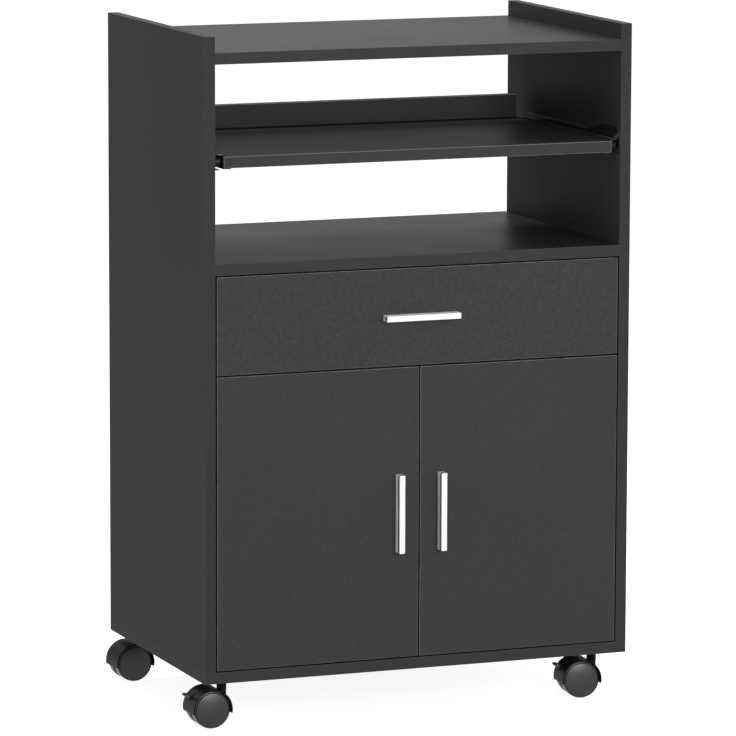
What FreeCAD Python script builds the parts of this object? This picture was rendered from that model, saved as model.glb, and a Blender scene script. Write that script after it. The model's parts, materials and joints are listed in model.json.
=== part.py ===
"""A rolling kitchen cart: board case, pull-out shelf, drawer, two doors and four twin-wheel casters.

The part's frame has +X to the right, +Y to the back and +Z up. Its origin is on the floor,
under the middle of the case. Lengths are in millimetres and angles in degrees. Places and
outline points are formulas on the two sheets, so a changed size moves all that follows from it.
"""

import FreeCAD
import Part
import Sketcher
import os

from FreeCAD import Placement, Rotation, Vector

# Driving dimensions: name, value, what it is

SIZES = [
    ("case_width", 600, "across the outer faces of the side panels"),
    ("case_depth", 385, "front edge to back edge of the side panels"),
    ("board", 15, "thickness of every board"),
    ("side_height", 832, "side panels, standing on the bottom board"),
    ("gallery_rise", 21, "side panels above the top shelf"),
    ("top_bay_height", 119.5, "top shelf down to the pull-out shelf"),
    ("lower_bay_height", 124, "pull-out shelf down to the counter board"),
    ("drawer_front_height", 128.5, "drawer front"),
    ("front_gap", 2, "gap between a front and the board beside it"),
    ("drawer_door_gap", 2.5, "gap between the drawer front and the doors"),
    ("edge_ease", 0.6, "small bevel on the boards' visible edges"),
    ("back_thickness", 3, "thin back panel"),
    ("back_inset", 12, "back panel's rear face in from the back edges"),
    ("groove_depth", 6, "grooves that hold the back panel"),
    ("groove_play", 0.1, "play on each side of a board in its groove"),
    ("stretcher_depth", 60, "front stretcher between drawer and cupboard"),
    ("front_stop_gap", 1.5, "doors' back faces to the stretcher"),
    ("shelf_side_room", 12.5, "room for a slide on each side of shelf and drawer"),
    ("shelf_front_inset", 2, "pull-out shelf behind the case's front edge"),
    ("shelf_back_room", 45, "pull-out shelf's rail to the case's back edge"),
    ("rail_rise", 31, "rear rail above the pull-out shelf"),
    ("slide_rear_inset", 30, "slides' rear ends in from the drawer box's rear end"),
    ("slide_metal", 1, "sheet steel of the slides"),
    ("slide_lip", 10, "slide member's lip under the board"),
    ("slide_height", 17.5, "slide member above the board's underside"),
    ("slide_flange", 7.5, "slide member's outward top flange"),
    ("runner_height", 26, "case member of a slide"),
    ("runner_drop", 3, "case member below the board's underside"),
    ("runner_flange", 9.5, "case member's flanges"),
    ("runner_flare", 11, "rise of the case member's front end"),
    ("flare_start", 91, "where the flare starts, from the slide's front end"),
    ("flare_full", 46, "where the flare is complete, from the slide's front end"),
    ("nose_radius", 9, "rounded front corners of the case member"),
    ("mouth_room", 1.5, "room over the slide member where it leaves the case member"),
    ("slide_front_gap", 2, "drawer's slides behind the drawer front"),
    ("roller_diameter", 15.4, "slide rollers"),
    ("roller_width", 6, "slide rollers"),
    ("roller_pin_diameter", 5, "pins that carry the rollers"),
    ("roller_inset", 13, "front roller's centre, from the slide's front end"),
    ("rear_roller_inset", 10, "rear roller's centre, from the slide's rear end"),
    ("running_clearance", 0.05, "radial play of a bore on its pin"),
    ("rolling_gap", 0.3, "gap between a roller and the flange it runs on"),
    ("drawer_board", 12, "drawer box's sides and back"),
    ("drawer_side_height", 95, "drawer box"),
    ("drawer_back_room", 25, "drawer box's rear end to the back panel"),
    ("drawer_box_rise", 12, "drawer box above its front's lower edge"),
    ("drawer_bottom_thickness", 3, "drawer bottom"),
    ("drawer_bottom_rise", 10, "drawer bottom above the sides' lower edges"),
    ("drawer_groove_depth", 5, "grooves that hold the drawer bottom"),
    ("handle_length", 104, "bar handles"),
    ("handle_width", 8, "bar handles"),
    ("handle_projection", 15, "bar handles"),
    ("handle_foot_depth", 8.5, "handle's part against the front"),
    ("handle_groove_depth", 4, "grooves along the handle's sides"),
    ("handle_neck_width", 4.5, "handle between its grooves"),
    ("handle_ease", 0.6, "bevelled outer edges of the handle"),
    ("handle_edge_inset", 28.75, "door handle's middle from the doors' meeting edge"),
    ("hinge_end_inset", 80, "hinge's middle from the door's end"),
    ("cup_diameter", 35, "hinge cup"),
    ("cup_depth", 11.5, "hinge cup in the door"),
    ("cup_edge_inset", 21.5, "cup's middle from the door's hinged edge"),
    ("cup_wall", 1, "hinge cup"),
    ("cup_flange_width", 48, "cup's screw flange, along the door's height"),
    ("cup_flange_depth", 14, "cup's screw flange, across the door"),
    ("cup_pin_inset", 8, "link's pivot in the cup, from the door's hinged edge"),
    ("cup_pin_back", 8.5, "link's pivot in the cup, behind the front face"),
    ("arm_pin_inset", 28, "link's pivot on the arm, from the door's hinged edge"),
    ("arm_pin_back", 19, "link's pivot on the arm, behind the front face"),
    ("hinge_pin_diameter", 2, "hinge pivots"),
    ("link_metal", 1.6, "hinge link"),
    ("link_width", 10, "hinge link, along its pivots"),
    ("link_eye_diameter", 3.8, "hinge link's rolled ends"),
    ("link_bend_inset", 19.5, "link's bend in the cup, from the door's hinged edge"),
    ("link_bend_back", 6.2, "link's bends in the cup, behind the front face"),
    ("arm_metal", 1.5, "hinge arm"),
    ("arm_width", 17, "hinge arm"),
    ("arm_nose_radius", 3.2, "hinge arm's front end"),
    ("arm_length", 46, "hinge arm, front pivot to rear end"),
    ("arm_depth", 11, "hinge arm's cheeks at the plate"),
    ("mount_length", 40, "hinge mounting plate"),
    ("mount_height", 46, "hinge mounting plate's two screw wings"),
    ("mount_wing", 12, "width of the mounting plate's wings"),
    ("mount_back", 37, "mounting plate's screws behind the case's front edge"),
    ("mount_metal", 2, "hinge mounting plate"),
    ("catch_length", 46, "magnet catch"),
    ("catch_depth", 14, "magnet catch"),
    ("catch_height", 12, "magnet catch"),
    ("strike_size", 14, "strike plate of the catch"),
    ("strike_metal", 1, "strike plate of the catch"),
    ("caster_height", 63, "floor to the bottom board"),
    ("caster_inset", 35, "swivel axis in from the case's faces"),
    ("caster_trail", 19, "axle behind the swivel axis"),
    ("wheel_diameter", 50, "caster wheels"),
    ("wheel_gap", 0.5, "wheel beside the hood's middle web"),
    ("wheel_width", 14, "caster wheel's tread"),
    ("wheel_bevel", 3, "bevel round the wheel's outer face"),
    ("axle_diameter", 6, "caster axle"),
    ("axle_length", 32, "caster axle"),
    ("hood_gap", 0.8, "wheel's tread to the hood"),
    ("hood_wall", 1.7, "caster hood"),
    ("hood_width", 42, "caster hood"),
    ("hood_skirt", 5, "hood's lower ends below the axle"),
    ("web_thickness", 6, "hood's middle web"),
    ("neck_diameter", 13, "hood's neck round the stem"),
    ("neck_gap", 1, "neck below the caster's plate"),
    ("stem_diameter", 8, "caster's stem"),
    ("stem_length", 15, "caster's stem below its plate"),
    ("plate_size", 42, "caster's square plate"),
    ("plate_metal", 2, "caster's square plate"),
    ("plate_corner", 4, "caster plate's bevelled corners"),
    ("brake_width", 12, "brake lever's blade"),
    ("brake_metal", 2.4, "brake lever's blade"),
    ("brake_reach", 43, "brake lever's tip from the axle"),
    ("brake_angle", 33, "brake lever above the trailing side, in degrees"),
    ("brake_pivot_radius", 19.5, "brake lever's pivot from the axle"),
    ("brake_tongue", 3, "brake lever between the hood's cheeks"),
    ("brake_slot_play", 0.4, "room beside the brake lever"),
    ("brake_swing_room", 7.8, "room in the hood below the lever for its swing"),
    ("brake_pin_diameter", 3, "brake lever's pivot"),
    ("turn_front_left", 0, "caster turned about its stem, in degrees"),
    ("turn_front_right", -6, "caster turned about its stem, in degrees"),
    ("turn_back_left", 3, "caster turned about its stem, in degrees"),
    ("turn_back_right", -4, "caster turned about its stem, in degrees"),
    ("overrun", 1, "how far a cut runs past the face it opens"),
]

# Flats round the pieces that repeat, so that the whole cart stays light

FULL_TURN = 360
WHEEL_FLATS = 36
HOOD_FLATS = 36
ROOM_FLATS = 24
CUP_FLATS = 24
ROLLER_FLATS = 20
EYE_FLATS = 12
NECK_FLATS = 24
PIN_FLATS = 16

# Levels and places worked out from the driving dimensions

PLACES = [
    ("half_width", "sizes.case_width / 2"),
    ("half_depth", "sizes.case_depth / 2"),
    ("inner_half", "places.half_width - sizes.board"),
    ("inner_width", "sizes.case_width - 2 * sizes.board"),
    ("front_back", "sizes.board - places.half_depth"),
    ("bottom_top", "sizes.caster_height + sizes.board"),
    ("side_top", "places.bottom_top + sizes.side_height"),
    ("top_shelf_under", "places.side_top - sizes.gallery_rise - sizes.board"),
    ("shelf_under", "places.top_shelf_under - sizes.top_bay_height - sizes.board"),
    ("counter_under", "places.shelf_under - sizes.lower_bay_height - sizes.board"),
    ("drawer_front_under", "places.counter_under - sizes.front_gap - sizes.drawer_front_height"),
    ("drawer_front_middle", "places.drawer_front_under + sizes.drawer_front_height / 2"),
    ("door_top", "places.drawer_front_under - sizes.drawer_door_gap"),
    ("door_under", "places.bottom_top + sizes.front_gap"),
    ("door_height", "places.door_top - places.door_under"),
    ("door_middle", "places.door_under + places.door_height / 2"),
    ("door_width", "(places.inner_width - 3 * sizes.front_gap) / 2"),
    ("front_width", "places.inner_width - 2 * sizes.front_gap"),
    ("stretcher_under", "places.door_top + sizes.drawer_door_gap / 2 - sizes.board / 2"),
    ("stretcher_front", "places.front_back + sizes.front_stop_gap"),
    ("back_front", "places.half_depth - sizes.back_inset - sizes.back_thickness"),
    ("cupboard_height", "places.counter_under - places.bottom_top"),
    ("groove_width", "sizes.back_thickness + 2 * sizes.groove_play"),
    ("slide_half", "places.inner_half - sizes.shelf_side_room"),
    ("shelf_front", "sizes.shelf_front_inset - places.half_depth"),
    ("shelf_depth", "sizes.case_depth - sizes.shelf_front_inset - sizes.shelf_back_room"),
    ("drawer_box_under", "places.drawer_front_under + sizes.drawer_box_rise"),
    ("drawer_slide_front", "places.front_back + sizes.slide_front_gap"),
    ("drawer_box_depth", "places.back_front - places.front_back - sizes.drawer_back_room"),
    ("slide_length", "places.drawer_box_depth - sizes.slide_rear_inset"),
    ("runner_top", "sizes.runner_height - sizes.runner_drop"),
    ("front_roller_level", "sizes.slide_height - sizes.slide_metal - sizes.roller_diameter / 2 - sizes.rolling_gap"),
    ("rear_roller_level", "sizes.slide_metal - sizes.runner_drop + sizes.roller_diameter / 2 + sizes.rolling_gap"),
    ("roller_bore", "sizes.roller_pin_diameter / 2 + sizes.running_clearance"),
    ("handle_lip", "sizes.handle_foot_depth + sizes.handle_groove_depth"),
    ("hinged_edge", "places.inner_half - sizes.front_gap"),
    ("low_hinge", "places.door_under + sizes.hinge_end_inset"),
    ("high_hinge", "places.door_top - sizes.hinge_end_inset"),
    ("cup_pin_spread", "sizes.cup_edge_inset - sizes.cup_pin_inset + sizes.hinge_pin_diameter / 2"),
    ("cup_flat_radius", f"sizes.cup_diameter / 2 * cos({FULL_TURN / 2 / CUP_FLATS})"),
    ("cup_pin_reach", "sqrt(places.cup_flat_radius ^ 2 - places.cup_pin_spread ^ 2) - sizes.running_clearance"),
    ("hinge_bore", "sizes.hinge_pin_diameter / 2 + sizes.running_clearance"),
    ("mount_face", "sizes.mount_metal - sizes.front_gap"),
    ("arm_rear", "sizes.arm_pin_back + sizes.arm_length"),
    ("arm_knee", "sizes.mount_back - sizes.mount_wing / 2"),
    ("caster_x", "places.half_width - sizes.caster_inset"),
    ("caster_y", "places.half_depth - sizes.caster_inset"),
    ("axle_level", "sizes.wheel_diameter / 2"),
    ("room_radius", "sizes.wheel_diameter / 2 + sizes.hood_gap"),
    ("hood_radius", "places.room_radius + sizes.hood_wall"),
    ("hood_room", "(sizes.hood_width - sizes.web_thickness) / 2 + sizes.overrun"),
    ("plate_under", "sizes.caster_height - sizes.plate_metal"),
    ("stem_end", "places.plate_under - sizes.stem_length"),
    ("neck_top", "places.plate_under - sizes.neck_gap"),
    ("neck_back", "sizes.caster_trail - sizes.neck_diameter / 2"),
    ("neck_low", "places.axle_level + sqrt(places.axle_level ^ 2 - places.neck_back ^ 2) + sizes.hood_gap"),
    ("wheel_near", "sizes.web_thickness / 2 + sizes.wheel_gap"),
    ("brake_x", "-sizes.caster_trail - sizes.brake_pivot_radius * cos(sizes.brake_angle)"),
    ("brake_z", "places.axle_level + sizes.brake_pivot_radius * sin(sizes.brake_angle)"),
    ("brake_turn", "sizes.brake_angle - 180"),
    ("blade_start", "places.hood_radius + sizes.hood_gap / 2 - sizes.brake_pivot_radius"),
    ("blade_length", "sizes.brake_reach - sizes.brake_pivot_radius - places.blade_start"),
    ("blade_curve", "(places.blade_length ^ 2 + (sizes.brake_width / 2) ^ 2) / sizes.brake_width"),
    ("tongue_room", "sizes.brake_tongue / 2 + sizes.brake_slot_play"),
]

# Casters: name, side, end and whether it has a brake

CASTERS = [
    ("front_left", -1, -1, True),
    ("front_right", 1, -1, True),
    ("back_left", -1, 1, False),
    ("back_right", 1, 1, False),
]

SIDES = [("left", -1), ("right", 1)]
HINGES = [("low", "places.low_hinge"), ("high", "places.high_hinge")]

UP = Vector(0, 0, 1)
BACKWARDS = Vector(0, 1, 0)
FORWARDS = Vector(0, -1, 0)
RIGHT = Vector(1, 0, 0)

NOSE_TOP_ANGLES = (90, 120, 150, 180)
NOSE_LOW_ANGLES = (180, 210, 240, 270)

doc = FreeCAD.newDocument("kitchen_cart")


def make_sheets():
    """Fill the two spreadsheets: driving dimensions, and places worked out from them."""
    sizes = doc.addObject("Spreadsheet::Sheet", "sizes")
    for row, (name, value, note) in enumerate(SIZES, start=1):
        sizes.set(f"A{row}", name)
        sizes.set(f"B{row}", str(value))
        sizes.set(f"C{row}", note)
        sizes.setAlias(f"B{row}", name)
    doc.recompute()
    places = doc.addObject("Spreadsheet::Sheet", "places")
    for row, (name, formula) in enumerate(PLACES, start=1):
        places.set(f"A{row}", name)
        places.setAlias(f"B{row}", name)
        places.set(f"B{row}", "=" + formula.replace("places.", ""))
    doc.recompute()
    return places


places_sheet = make_sheets()
PARTS = []


def number(formula):
    """The value of a formula on the sheets."""
    return float(places_sheet.evalExpression(formula))


def keep(feature, label):
    """Label a finished sub-part and list it for writing."""
    feature.Label = label
    PARTS.append(feature)
    return feature


def bind(feature, **formulas):
    """Tie properties of a feature to formulas on the sheets."""
    for prop, formula in formulas.items():
        feature.setExpression(prop, formula)


def place(feature, x="0", y="0", z="0", turn=None):
    """Tie a feature's place, and its turn about the axis that it has, to formulas."""
    feature.setExpression("Placement.Base.x", x)
    feature.setExpression("Placement.Base.y", y)
    feature.setExpression("Placement.Base.z", z)
    if turn is not None:
        feature.setExpression("Placement.Rotation.Angle", turn)


def box(name, length, width, height, x, y, z):
    """A box whose sizes and lowest corner are formulas."""
    feature = doc.addObject("Part::Box", name)
    bind(feature, Length=length, Width=width, Height=height)
    place(feature, x, y, z)
    return feature


def cylinder(name, radius, height, x, y, z, direction=UP):
    """A cylinder from a formula place, along a direction."""
    feature = doc.addObject("Part::Cylinder", name)
    bind(feature, Radius=radius, Height=height)
    feature.Placement = Placement(Vector(), Rotation(UP, direction))
    place(feature, x, y, z)
    return feature


def prism(name, flats, radius, height, x, y, z, direction=UP):
    """A many-sided prism with its corners at a radius, from a formula place along a direction."""
    feature = doc.addObject("Part::Prism", name)
    feature.Polygon = flats
    bind(feature, Circumradius=radius, Height=height)
    feature.Placement = Placement(Vector(), Rotation(UP, direction))
    place(feature, x, y, z)
    return feature


def cut(name, base, tools):
    """The base with every tool taken out of it."""
    for index, tool in enumerate(tools):
        doc.recompute()
        before = base.Shape.Volume
        result = doc.addObject("Part::Cut", f"{name}_cut_{index}")
        result.Base = base
        result.Tool = tool
        doc.recompute()
        if result.Shape.Volume >= before:
            raise ValueError(f"{name}: cut {index} took nothing away")
        base = result
    return base


def fuse(name, pieces):
    """The pieces as one solid."""
    feature = doc.addObject("Part::MultiFuse", name)
    feature.Shapes = pieces
    feature.Refine = True
    return feature


def common(name, pieces):
    """What the pieces share."""
    feature = doc.addObject("Part::MultiCommon", name)
    feature.Shapes = pieces
    return feature


def group(name, pieces, axis=UP):
    """Separate pieces held together, with a place and a turn of their own."""
    feature = doc.addObject("Part::Compound", name)
    feature.Links = pieces
    feature.Placement = Placement(Vector(), Rotation(axis, 1))
    feature.setExpression("Placement.Rotation.Angle", "0")
    return feature


def ease(name, base, wanted, size="sizes.edge_ease"):
    """Bevel the straight edges of a base that a test picks out."""
    doc.recompute()
    amount = number(size)
    picked = [(index, amount, amount) for index, edge in enumerate(base.Shape.Edges, start=1) if wanted(edge)]
    result = doc.addObject("Part::Chamfer", f"{name}_eased")
    result.Base = base
    result.Edges = picked
    return result


def on_plane(axis, formula):
    """A test for straight edges that lie in a plane square to an axis."""
    at = number(formula)
    small = number("sizes.running_clearance")

    def test(edge):
        low = getattr(edge.BoundBox, f"{axis}Min")
        high = getattr(edge.BoundBox, f"{axis}Max")
        straight = edge.Curve.TypeId == "Part::GeomLine"
        return straight and abs(low - at) < small and abs(high - at) < small

    return test


def new_body(name):
    """An empty body."""
    return doc.addObject("PartDesign::Body", name)


def new_sketch(body, role, name, offset="0"):
    """An empty sketch on one of a body's own planes, moved off it by a formula."""
    sketch = body.newObject("Sketcher::SketchObject", name)
    plane = [item for item in body.Origin.OriginFeatures if item.Role == role][0]
    sketch.AttachmentSupport = (plane, [""])
    sketch.MapMode = "FlatFace"
    sketch.setExpression("AttachmentOffset.Base.z", offset)
    return sketch


def tie_point(sketch, line, end, point):
    """Tie a point of a sketch to two formulas, measured from the sketch's origin."""
    for kind, formula in zip(("DistanceX", "DistanceY"), point):
        rule = Sketcher.Constraint(kind, -1, 1, line, end, number(formula))
        index = sketch.addConstraint(rule)
        sketch.setExpression(f"Constraints[{index}]", formula)


def outline_on(body, role, name, points, offset="0"):
    """A closed outline of straight lines through points that are formulas."""
    sketch = new_sketch(body, role, name, offset)
    spots = [Vector(number(across), number(along), 0) for across, along in points]
    count = len(spots)
    for index, spot in enumerate(spots):
        sketch.addGeometry(Part.LineSegment(spot, spots[(index + 1) % count]), False)
    for index in range(count):
        sketch.addConstraint(Sketcher.Constraint("Coincident", index, 2, (index + 1) % count, 1))
    for index, point in enumerate(points):
        tie_point(sketch, index, 1, point)
    return sketch


def pin_outline_on(body, role, name, point, radius):
    """A many-sided outline with its corners at a radius from a point."""
    corners = []
    for index in range(PIN_FLATS):
        angle = index * FULL_TURN / PIN_FLATS
        corners.append((f"{point[0]} + {radius} * cos({angle})", f"{point[1]} + {radius} * sin({angle})"))
    return outline_on(body, role, name, corners)


def pad(body, sketch, name, length, backwards=False):
    """Pad a sketch by a formula."""
    feature = body.newObject("PartDesign::Pad", name)
    feature.Profile = sketch
    feature.Reversed = backwards
    feature.setExpression("Length", length)
    doc.recompute()
    return feature


def pocket(body, sketch, name, length, backwards=False):
    """Pocket a sketch by a formula, and make sure that it cuts."""
    before = body.Tip.Shape.Volume
    feature = body.newObject("PartDesign::Pocket", name)
    feature.Profile = sketch
    feature.Reversed = backwards
    feature.setExpression("Length", length)
    doc.recompute()
    if feature.Shape.Volume >= before:
        raise ValueError(f"{name} cut nothing")
    return feature


# Case boards


def make_side_panel(label, side):
    """A side panel with the groove for the back panel."""
    left = side < 0
    board = box(f"{label}_board", "sizes.board", "sizes.case_depth", "sizes.side_height",
                "-places.half_width" if left else "places.inner_half",
                "-places.half_depth", "places.bottom_top")
    groove_x = "-places.inner_half - sizes.groove_depth" if left else "places.inner_half - sizes.overrun"
    groove = box(f"{label}_groove", "sizes.groove_depth + sizes.overrun", "places.groove_width",
                 "places.cupboard_height + sizes.groove_depth",
                 groove_x, "places.back_front - sizes.groove_play", "places.bottom_top")
    panel = cut(label, board, [groove])
    front = on_plane("Y", "-places.half_depth")
    top = on_plane("Z", "places.side_top")
    return keep(ease(label, panel, lambda edge: front(edge) or top(edge)), label)


def make_case():
    """The fixed boards of the case."""
    for word, side in SIDES:
        make_side_panel(f"{word}_side_panel", side)
    front = on_plane("Y", "-places.half_depth")
    top = box("top_shelf_board", "places.inner_width", "sizes.case_depth", "sizes.board",
              "-places.inner_half", "-places.half_depth", "places.top_shelf_under")
    keep(ease("top_shelf", top, front), "top_shelf")
    counter = box("counter_board", "places.inner_width", "sizes.case_depth", "sizes.board",
                  "-places.inner_half", "-places.half_depth", "places.counter_under")
    groove = box("counter_groove", "places.inner_width + 2 * sizes.overrun", "places.groove_width",
                 "sizes.groove_depth + sizes.overrun", "-places.inner_half - sizes.overrun",
                 "places.back_front - sizes.groove_play", "places.counter_under - sizes.overrun")
    keep(ease("counter_panel", cut("counter_panel", counter, [groove]), front), "counter_panel")
    bottom = box("bottom_board", "sizes.case_width", "sizes.case_depth", "sizes.board",
                 "-places.half_width", "-places.half_depth", "sizes.caster_height")
    keep(ease("bottom_panel", bottom, front), "bottom_panel")
    back = box("back_board", "places.inner_width + 2 * (sizes.groove_depth - sizes.groove_play)",
               "sizes.back_thickness", "places.cupboard_height + sizes.groove_depth - sizes.groove_play",
               "-places.inner_half - sizes.groove_depth + sizes.groove_play", "places.back_front",
               "places.bottom_top")
    keep(back, "back_panel")
    stretcher = box("stretcher_board", "places.inner_width", "sizes.stretcher_depth", "sizes.board",
                    "-places.inner_half", "places.stretcher_front", "places.stretcher_under")
    keep(stretcher, "front_stretcher")


# Roller slides


def runner_outline(inset, rear):
    """Side view of a case member from its front end, taken in by an inset along top and bottom."""
    low = f"({inset} - sizes.runner_drop)"
    high = f"(places.runner_top - {inset})"
    flared = f"({high} + sizes.runner_flare)"
    curve = f"(sizes.nose_radius - {inset})"
    points = [(rear, low), (rear, high), ("sizes.flare_start", high), ("sizes.flare_full", flared)]
    for angle in NOSE_TOP_ANGLES:
        points.append((f"sizes.nose_radius + {curve} * cos({angle})",
                       f"{flared} - {curve} + {curve} * sin({angle})"))
    for angle in NOSE_LOW_ANGLES:
        points.append((f"sizes.nose_radius + {curve} * cos({angle})",
                       f"{low} + {curve} + {curve} * sin({angle})"))
    return points


def make_runner(label, side, start, level):
    """A case member: a flanged channel with a raised, rounded front end and the front roller's pin."""
    body = new_body(label)
    inward = side > 0
    metal = f"{-side} * sizes.slide_metal"
    outline = outline_on(body, "YZ_Plane", f"{label}_outline", runner_outline("0", "places.slide_length"))
    pad(body, outline, f"{label}_pad", "sizes.runner_flange", backwards=inward)
    inner = runner_outline("sizes.slide_metal", "places.slide_length + sizes.overrun")
    hollow = outline_on(body, "YZ_Plane", f"{label}_hollow", inner, metal)
    pocket(body, hollow, f"{label}_pocket", "sizes.runner_flange", backwards=not inward)
    floor = "sizes.slide_metal - sizes.runner_drop"
    ceiling = "sizes.slide_height + sizes.mouth_room"
    mouth_points = [("-sizes.overrun", floor), ("sizes.nose_radius", floor),
                    ("sizes.nose_radius", ceiling), ("-sizes.overrun", ceiling)]
    mouth = outline_on(body, "YZ_Plane", f"{label}_mouth", mouth_points, metal)
    pocket(body, mouth, f"{label}_mouth_pocket", "sizes.runner_flange", backwards=not inward)
    pin = pin_outline_on(body, "YZ_Plane", f"{label}_pin_outline",
                    ("sizes.roller_inset", "places.front_roller_level"), "sizes.roller_pin_diameter / 2")
    pad(body, pin, f"{label}_pin", "sizes.runner_flange - sizes.slide_metal", backwards=inward)
    place(body, f"{side} * places.inner_half", start, level)
    return keep(body, label)


def make_slide(label, side, start, level):
    """A moving member: a lip under the board, a web beside it, an outward flange and the rear pin."""
    metal = "sizes.slide_metal"
    tall = "sizes.slide_height"
    lip = f"{-side} * sizes.slide_lip"
    web = f"{side} * sizes.slide_metal"
    flange = f"{side} * sizes.slide_flange"
    points = [(lip, f"-{metal}"), (web, f"-{metal}"), (web, f"{tall} - {metal}"),
              (flange, f"{tall} - {metal}"), (flange, tall), ("0", tall), ("0", "0"), (lip, "0")]
    body = new_body(label)
    section = outline_on(body, "XZ_Plane", f"{label}_section", points)
    pad(body, section, f"{label}_pad", "places.slide_length", backwards=True)
    pin = pin_outline_on(body, "YZ_Plane", f"{label}_pin_outline",
                    ("places.slide_length - sizes.rear_roller_inset", "places.rear_roller_level"),
                    "sizes.roller_pin_diameter / 2")
    pad(body, pin, f"{label}_pin", "sizes.runner_flange - sizes.slide_metal", backwards=side < 0)
    place(body, f"{side} * places.slide_half", start, level)
    return keep(body, label)


def make_roller_pair(label, x, y, z):
    """Two bored rollers, one for each side, from their inner faces outwards."""
    pair = []
    for word, side in SIDES:
        direction = RIGHT * side
        tyre = prism(f"{label}_{word}_tyre", ROLLER_FLATS, "sizes.roller_diameter / 2", "sizes.roller_width",
                     f"{side} * ({x})", y, z, direction)
        bore = cylinder(f"{label}_{word}_bore", "places.roller_bore", "sizes.roller_width",
                        f"{side} * ({x})", y, z, direction)
        pair.append(cut(f"{label}_{word}", tyre, [bore]))
    keep(group(f"{label}_pair", pair), label)


def make_slides(prefix, start, level):
    """Both slides of a shelf or drawer, with their two pairs of rollers."""
    for word, side in SIDES:
        make_runner(f"{word}_{prefix}_runner", side, start, level)
        make_slide(f"{word}_{prefix}_slide", side, start, level)
    make_roller_pair(f"{prefix}_front_rollers",
                     "places.slide_half + (sizes.shelf_side_room - sizes.roller_width) / 2",
                     f"{start} + sizes.roller_inset", f"{level} + places.front_roller_level")
    make_roller_pair(f"{prefix}_rear_rollers",
                     "places.slide_half + sizes.slide_metal + sizes.rolling_gap",
                     f"{start} + places.slide_length - sizes.rear_roller_inset",
                     f"{level} + places.rear_roller_level")


# Pull-out shelf and drawer


def make_shelf():
    """The pull-out shelf: board, rear rail and its slides."""
    board = box("pull_out_board", "2 * places.slide_half", "places.shelf_depth", "sizes.board",
                "-places.slide_half", "places.shelf_front", "places.shelf_under")
    keep(ease("pull_out_shelf", board, on_plane("Y", "places.shelf_front")), "pull_out_shelf")
    rail = box("rail_board", "2 * places.slide_half", "sizes.board", "sizes.rail_rise",
               "-places.slide_half", "places.shelf_front + places.shelf_depth - sizes.board",
               "places.shelf_under + sizes.board")
    top = on_plane("Z", "places.shelf_under + sizes.board + sizes.rail_rise")
    keep(ease("shelf_rear_rail", rail, top), "shelf_rear_rail")
    make_slides("shelf", "places.shelf_front", "places.shelf_under")


def make_drawer():
    """The drawer: front, box, handle and slides."""
    front = box("drawer_front_board", "places.front_width", "sizes.board", "sizes.drawer_front_height",
                "-places.front_width / 2", "-places.half_depth", "places.drawer_front_under")
    keep(ease("drawer_front", front, on_plane("Y", "-places.half_depth")), "drawer_front")
    groove_z = "places.drawer_box_under + sizes.drawer_bottom_rise - sizes.groove_play"
    groove_height = "sizes.drawer_bottom_thickness + 2 * sizes.groove_play"
    for word, side in SIDES:
        x = "-places.slide_half" if side < 0 else "places.slide_half - sizes.drawer_board"
        wall = box(f"{word}_drawer_wall", "sizes.drawer_board", "places.drawer_box_depth",
                   "sizes.drawer_side_height", x, "places.front_back", "places.drawer_box_under")
        groove_x = ("-places.slide_half + sizes.drawer_board - sizes.drawer_groove_depth" if side < 0
                    else "places.slide_half - sizes.drawer_board - sizes.overrun")
        groove = box(f"{word}_drawer_groove", "sizes.drawer_groove_depth + sizes.overrun",
                     "places.drawer_box_depth", groove_height, groove_x, "places.front_back", groove_z)
        keep(cut(f"{word}_drawer_side", wall, [groove]), f"{word}_drawer_side")
    back = box("drawer_back_board", "2 * (places.slide_half - sizes.drawer_board)", "sizes.drawer_board",
               "sizes.drawer_side_height - sizes.drawer_bottom_rise - sizes.drawer_bottom_thickness",
               "-places.slide_half + sizes.drawer_board",
               "places.front_back + places.drawer_box_depth - sizes.drawer_board",
               "places.drawer_box_under + sizes.drawer_bottom_rise + sizes.drawer_bottom_thickness")
    keep(back, "drawer_back")
    reach = "(places.slide_half - sizes.drawer_board + sizes.drawer_groove_depth - sizes.groove_play)"
    bottom = box("drawer_bottom_board", f"2 * {reach}", "places.drawer_box_depth",
                 "sizes.drawer_bottom_thickness", f"-{reach}", "places.front_back",
                 "places.drawer_box_under + sizes.drawer_bottom_rise")
    keep(bottom, "drawer_bottom")
    make_slides("drawer", "places.drawer_slide_front", "places.drawer_box_under")
    make_handle("drawer_handle", "0", "places.drawer_front_middle", False)


def make_handle(label, x, z, upright):
    """A bar handle with a groove along each side and bevelled outer edges, seated on a front."""
    half = "sizes.handle_width / 2"
    neck = "sizes.handle_neck_width / 2"
    foot = "-sizes.handle_foot_depth"
    lip = "-places.handle_lip"
    deep = "-sizes.handle_projection"
    eased = "-(sizes.handle_projection - sizes.handle_ease)"
    narrow = "(sizes.handle_width / 2 - sizes.handle_ease)"
    right = [(half, "0"), (half, foot), (neck, foot), (neck, lip), (half, lip), (half, eased), (narrow, deep)]
    left = [(f"-{across}", along) for across, along in reversed(right)]
    body = new_body(label)
    section = outline_on(body, "XY_Plane", f"{label}_section", right + left)
    pad(body, section, f"{label}_pad", "sizes.handle_length")
    if upright:
        place(body, x, "-places.half_depth", f"{z} - sizes.handle_length / 2")
    else:
        body.Placement = Placement(Vector(), Rotation(BACKWARDS, 90))
        place(body, f"{x} - sizes.handle_length / 2", "-places.half_depth", z)
    return keep(body, label)


# Doors and their cup hinges


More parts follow.
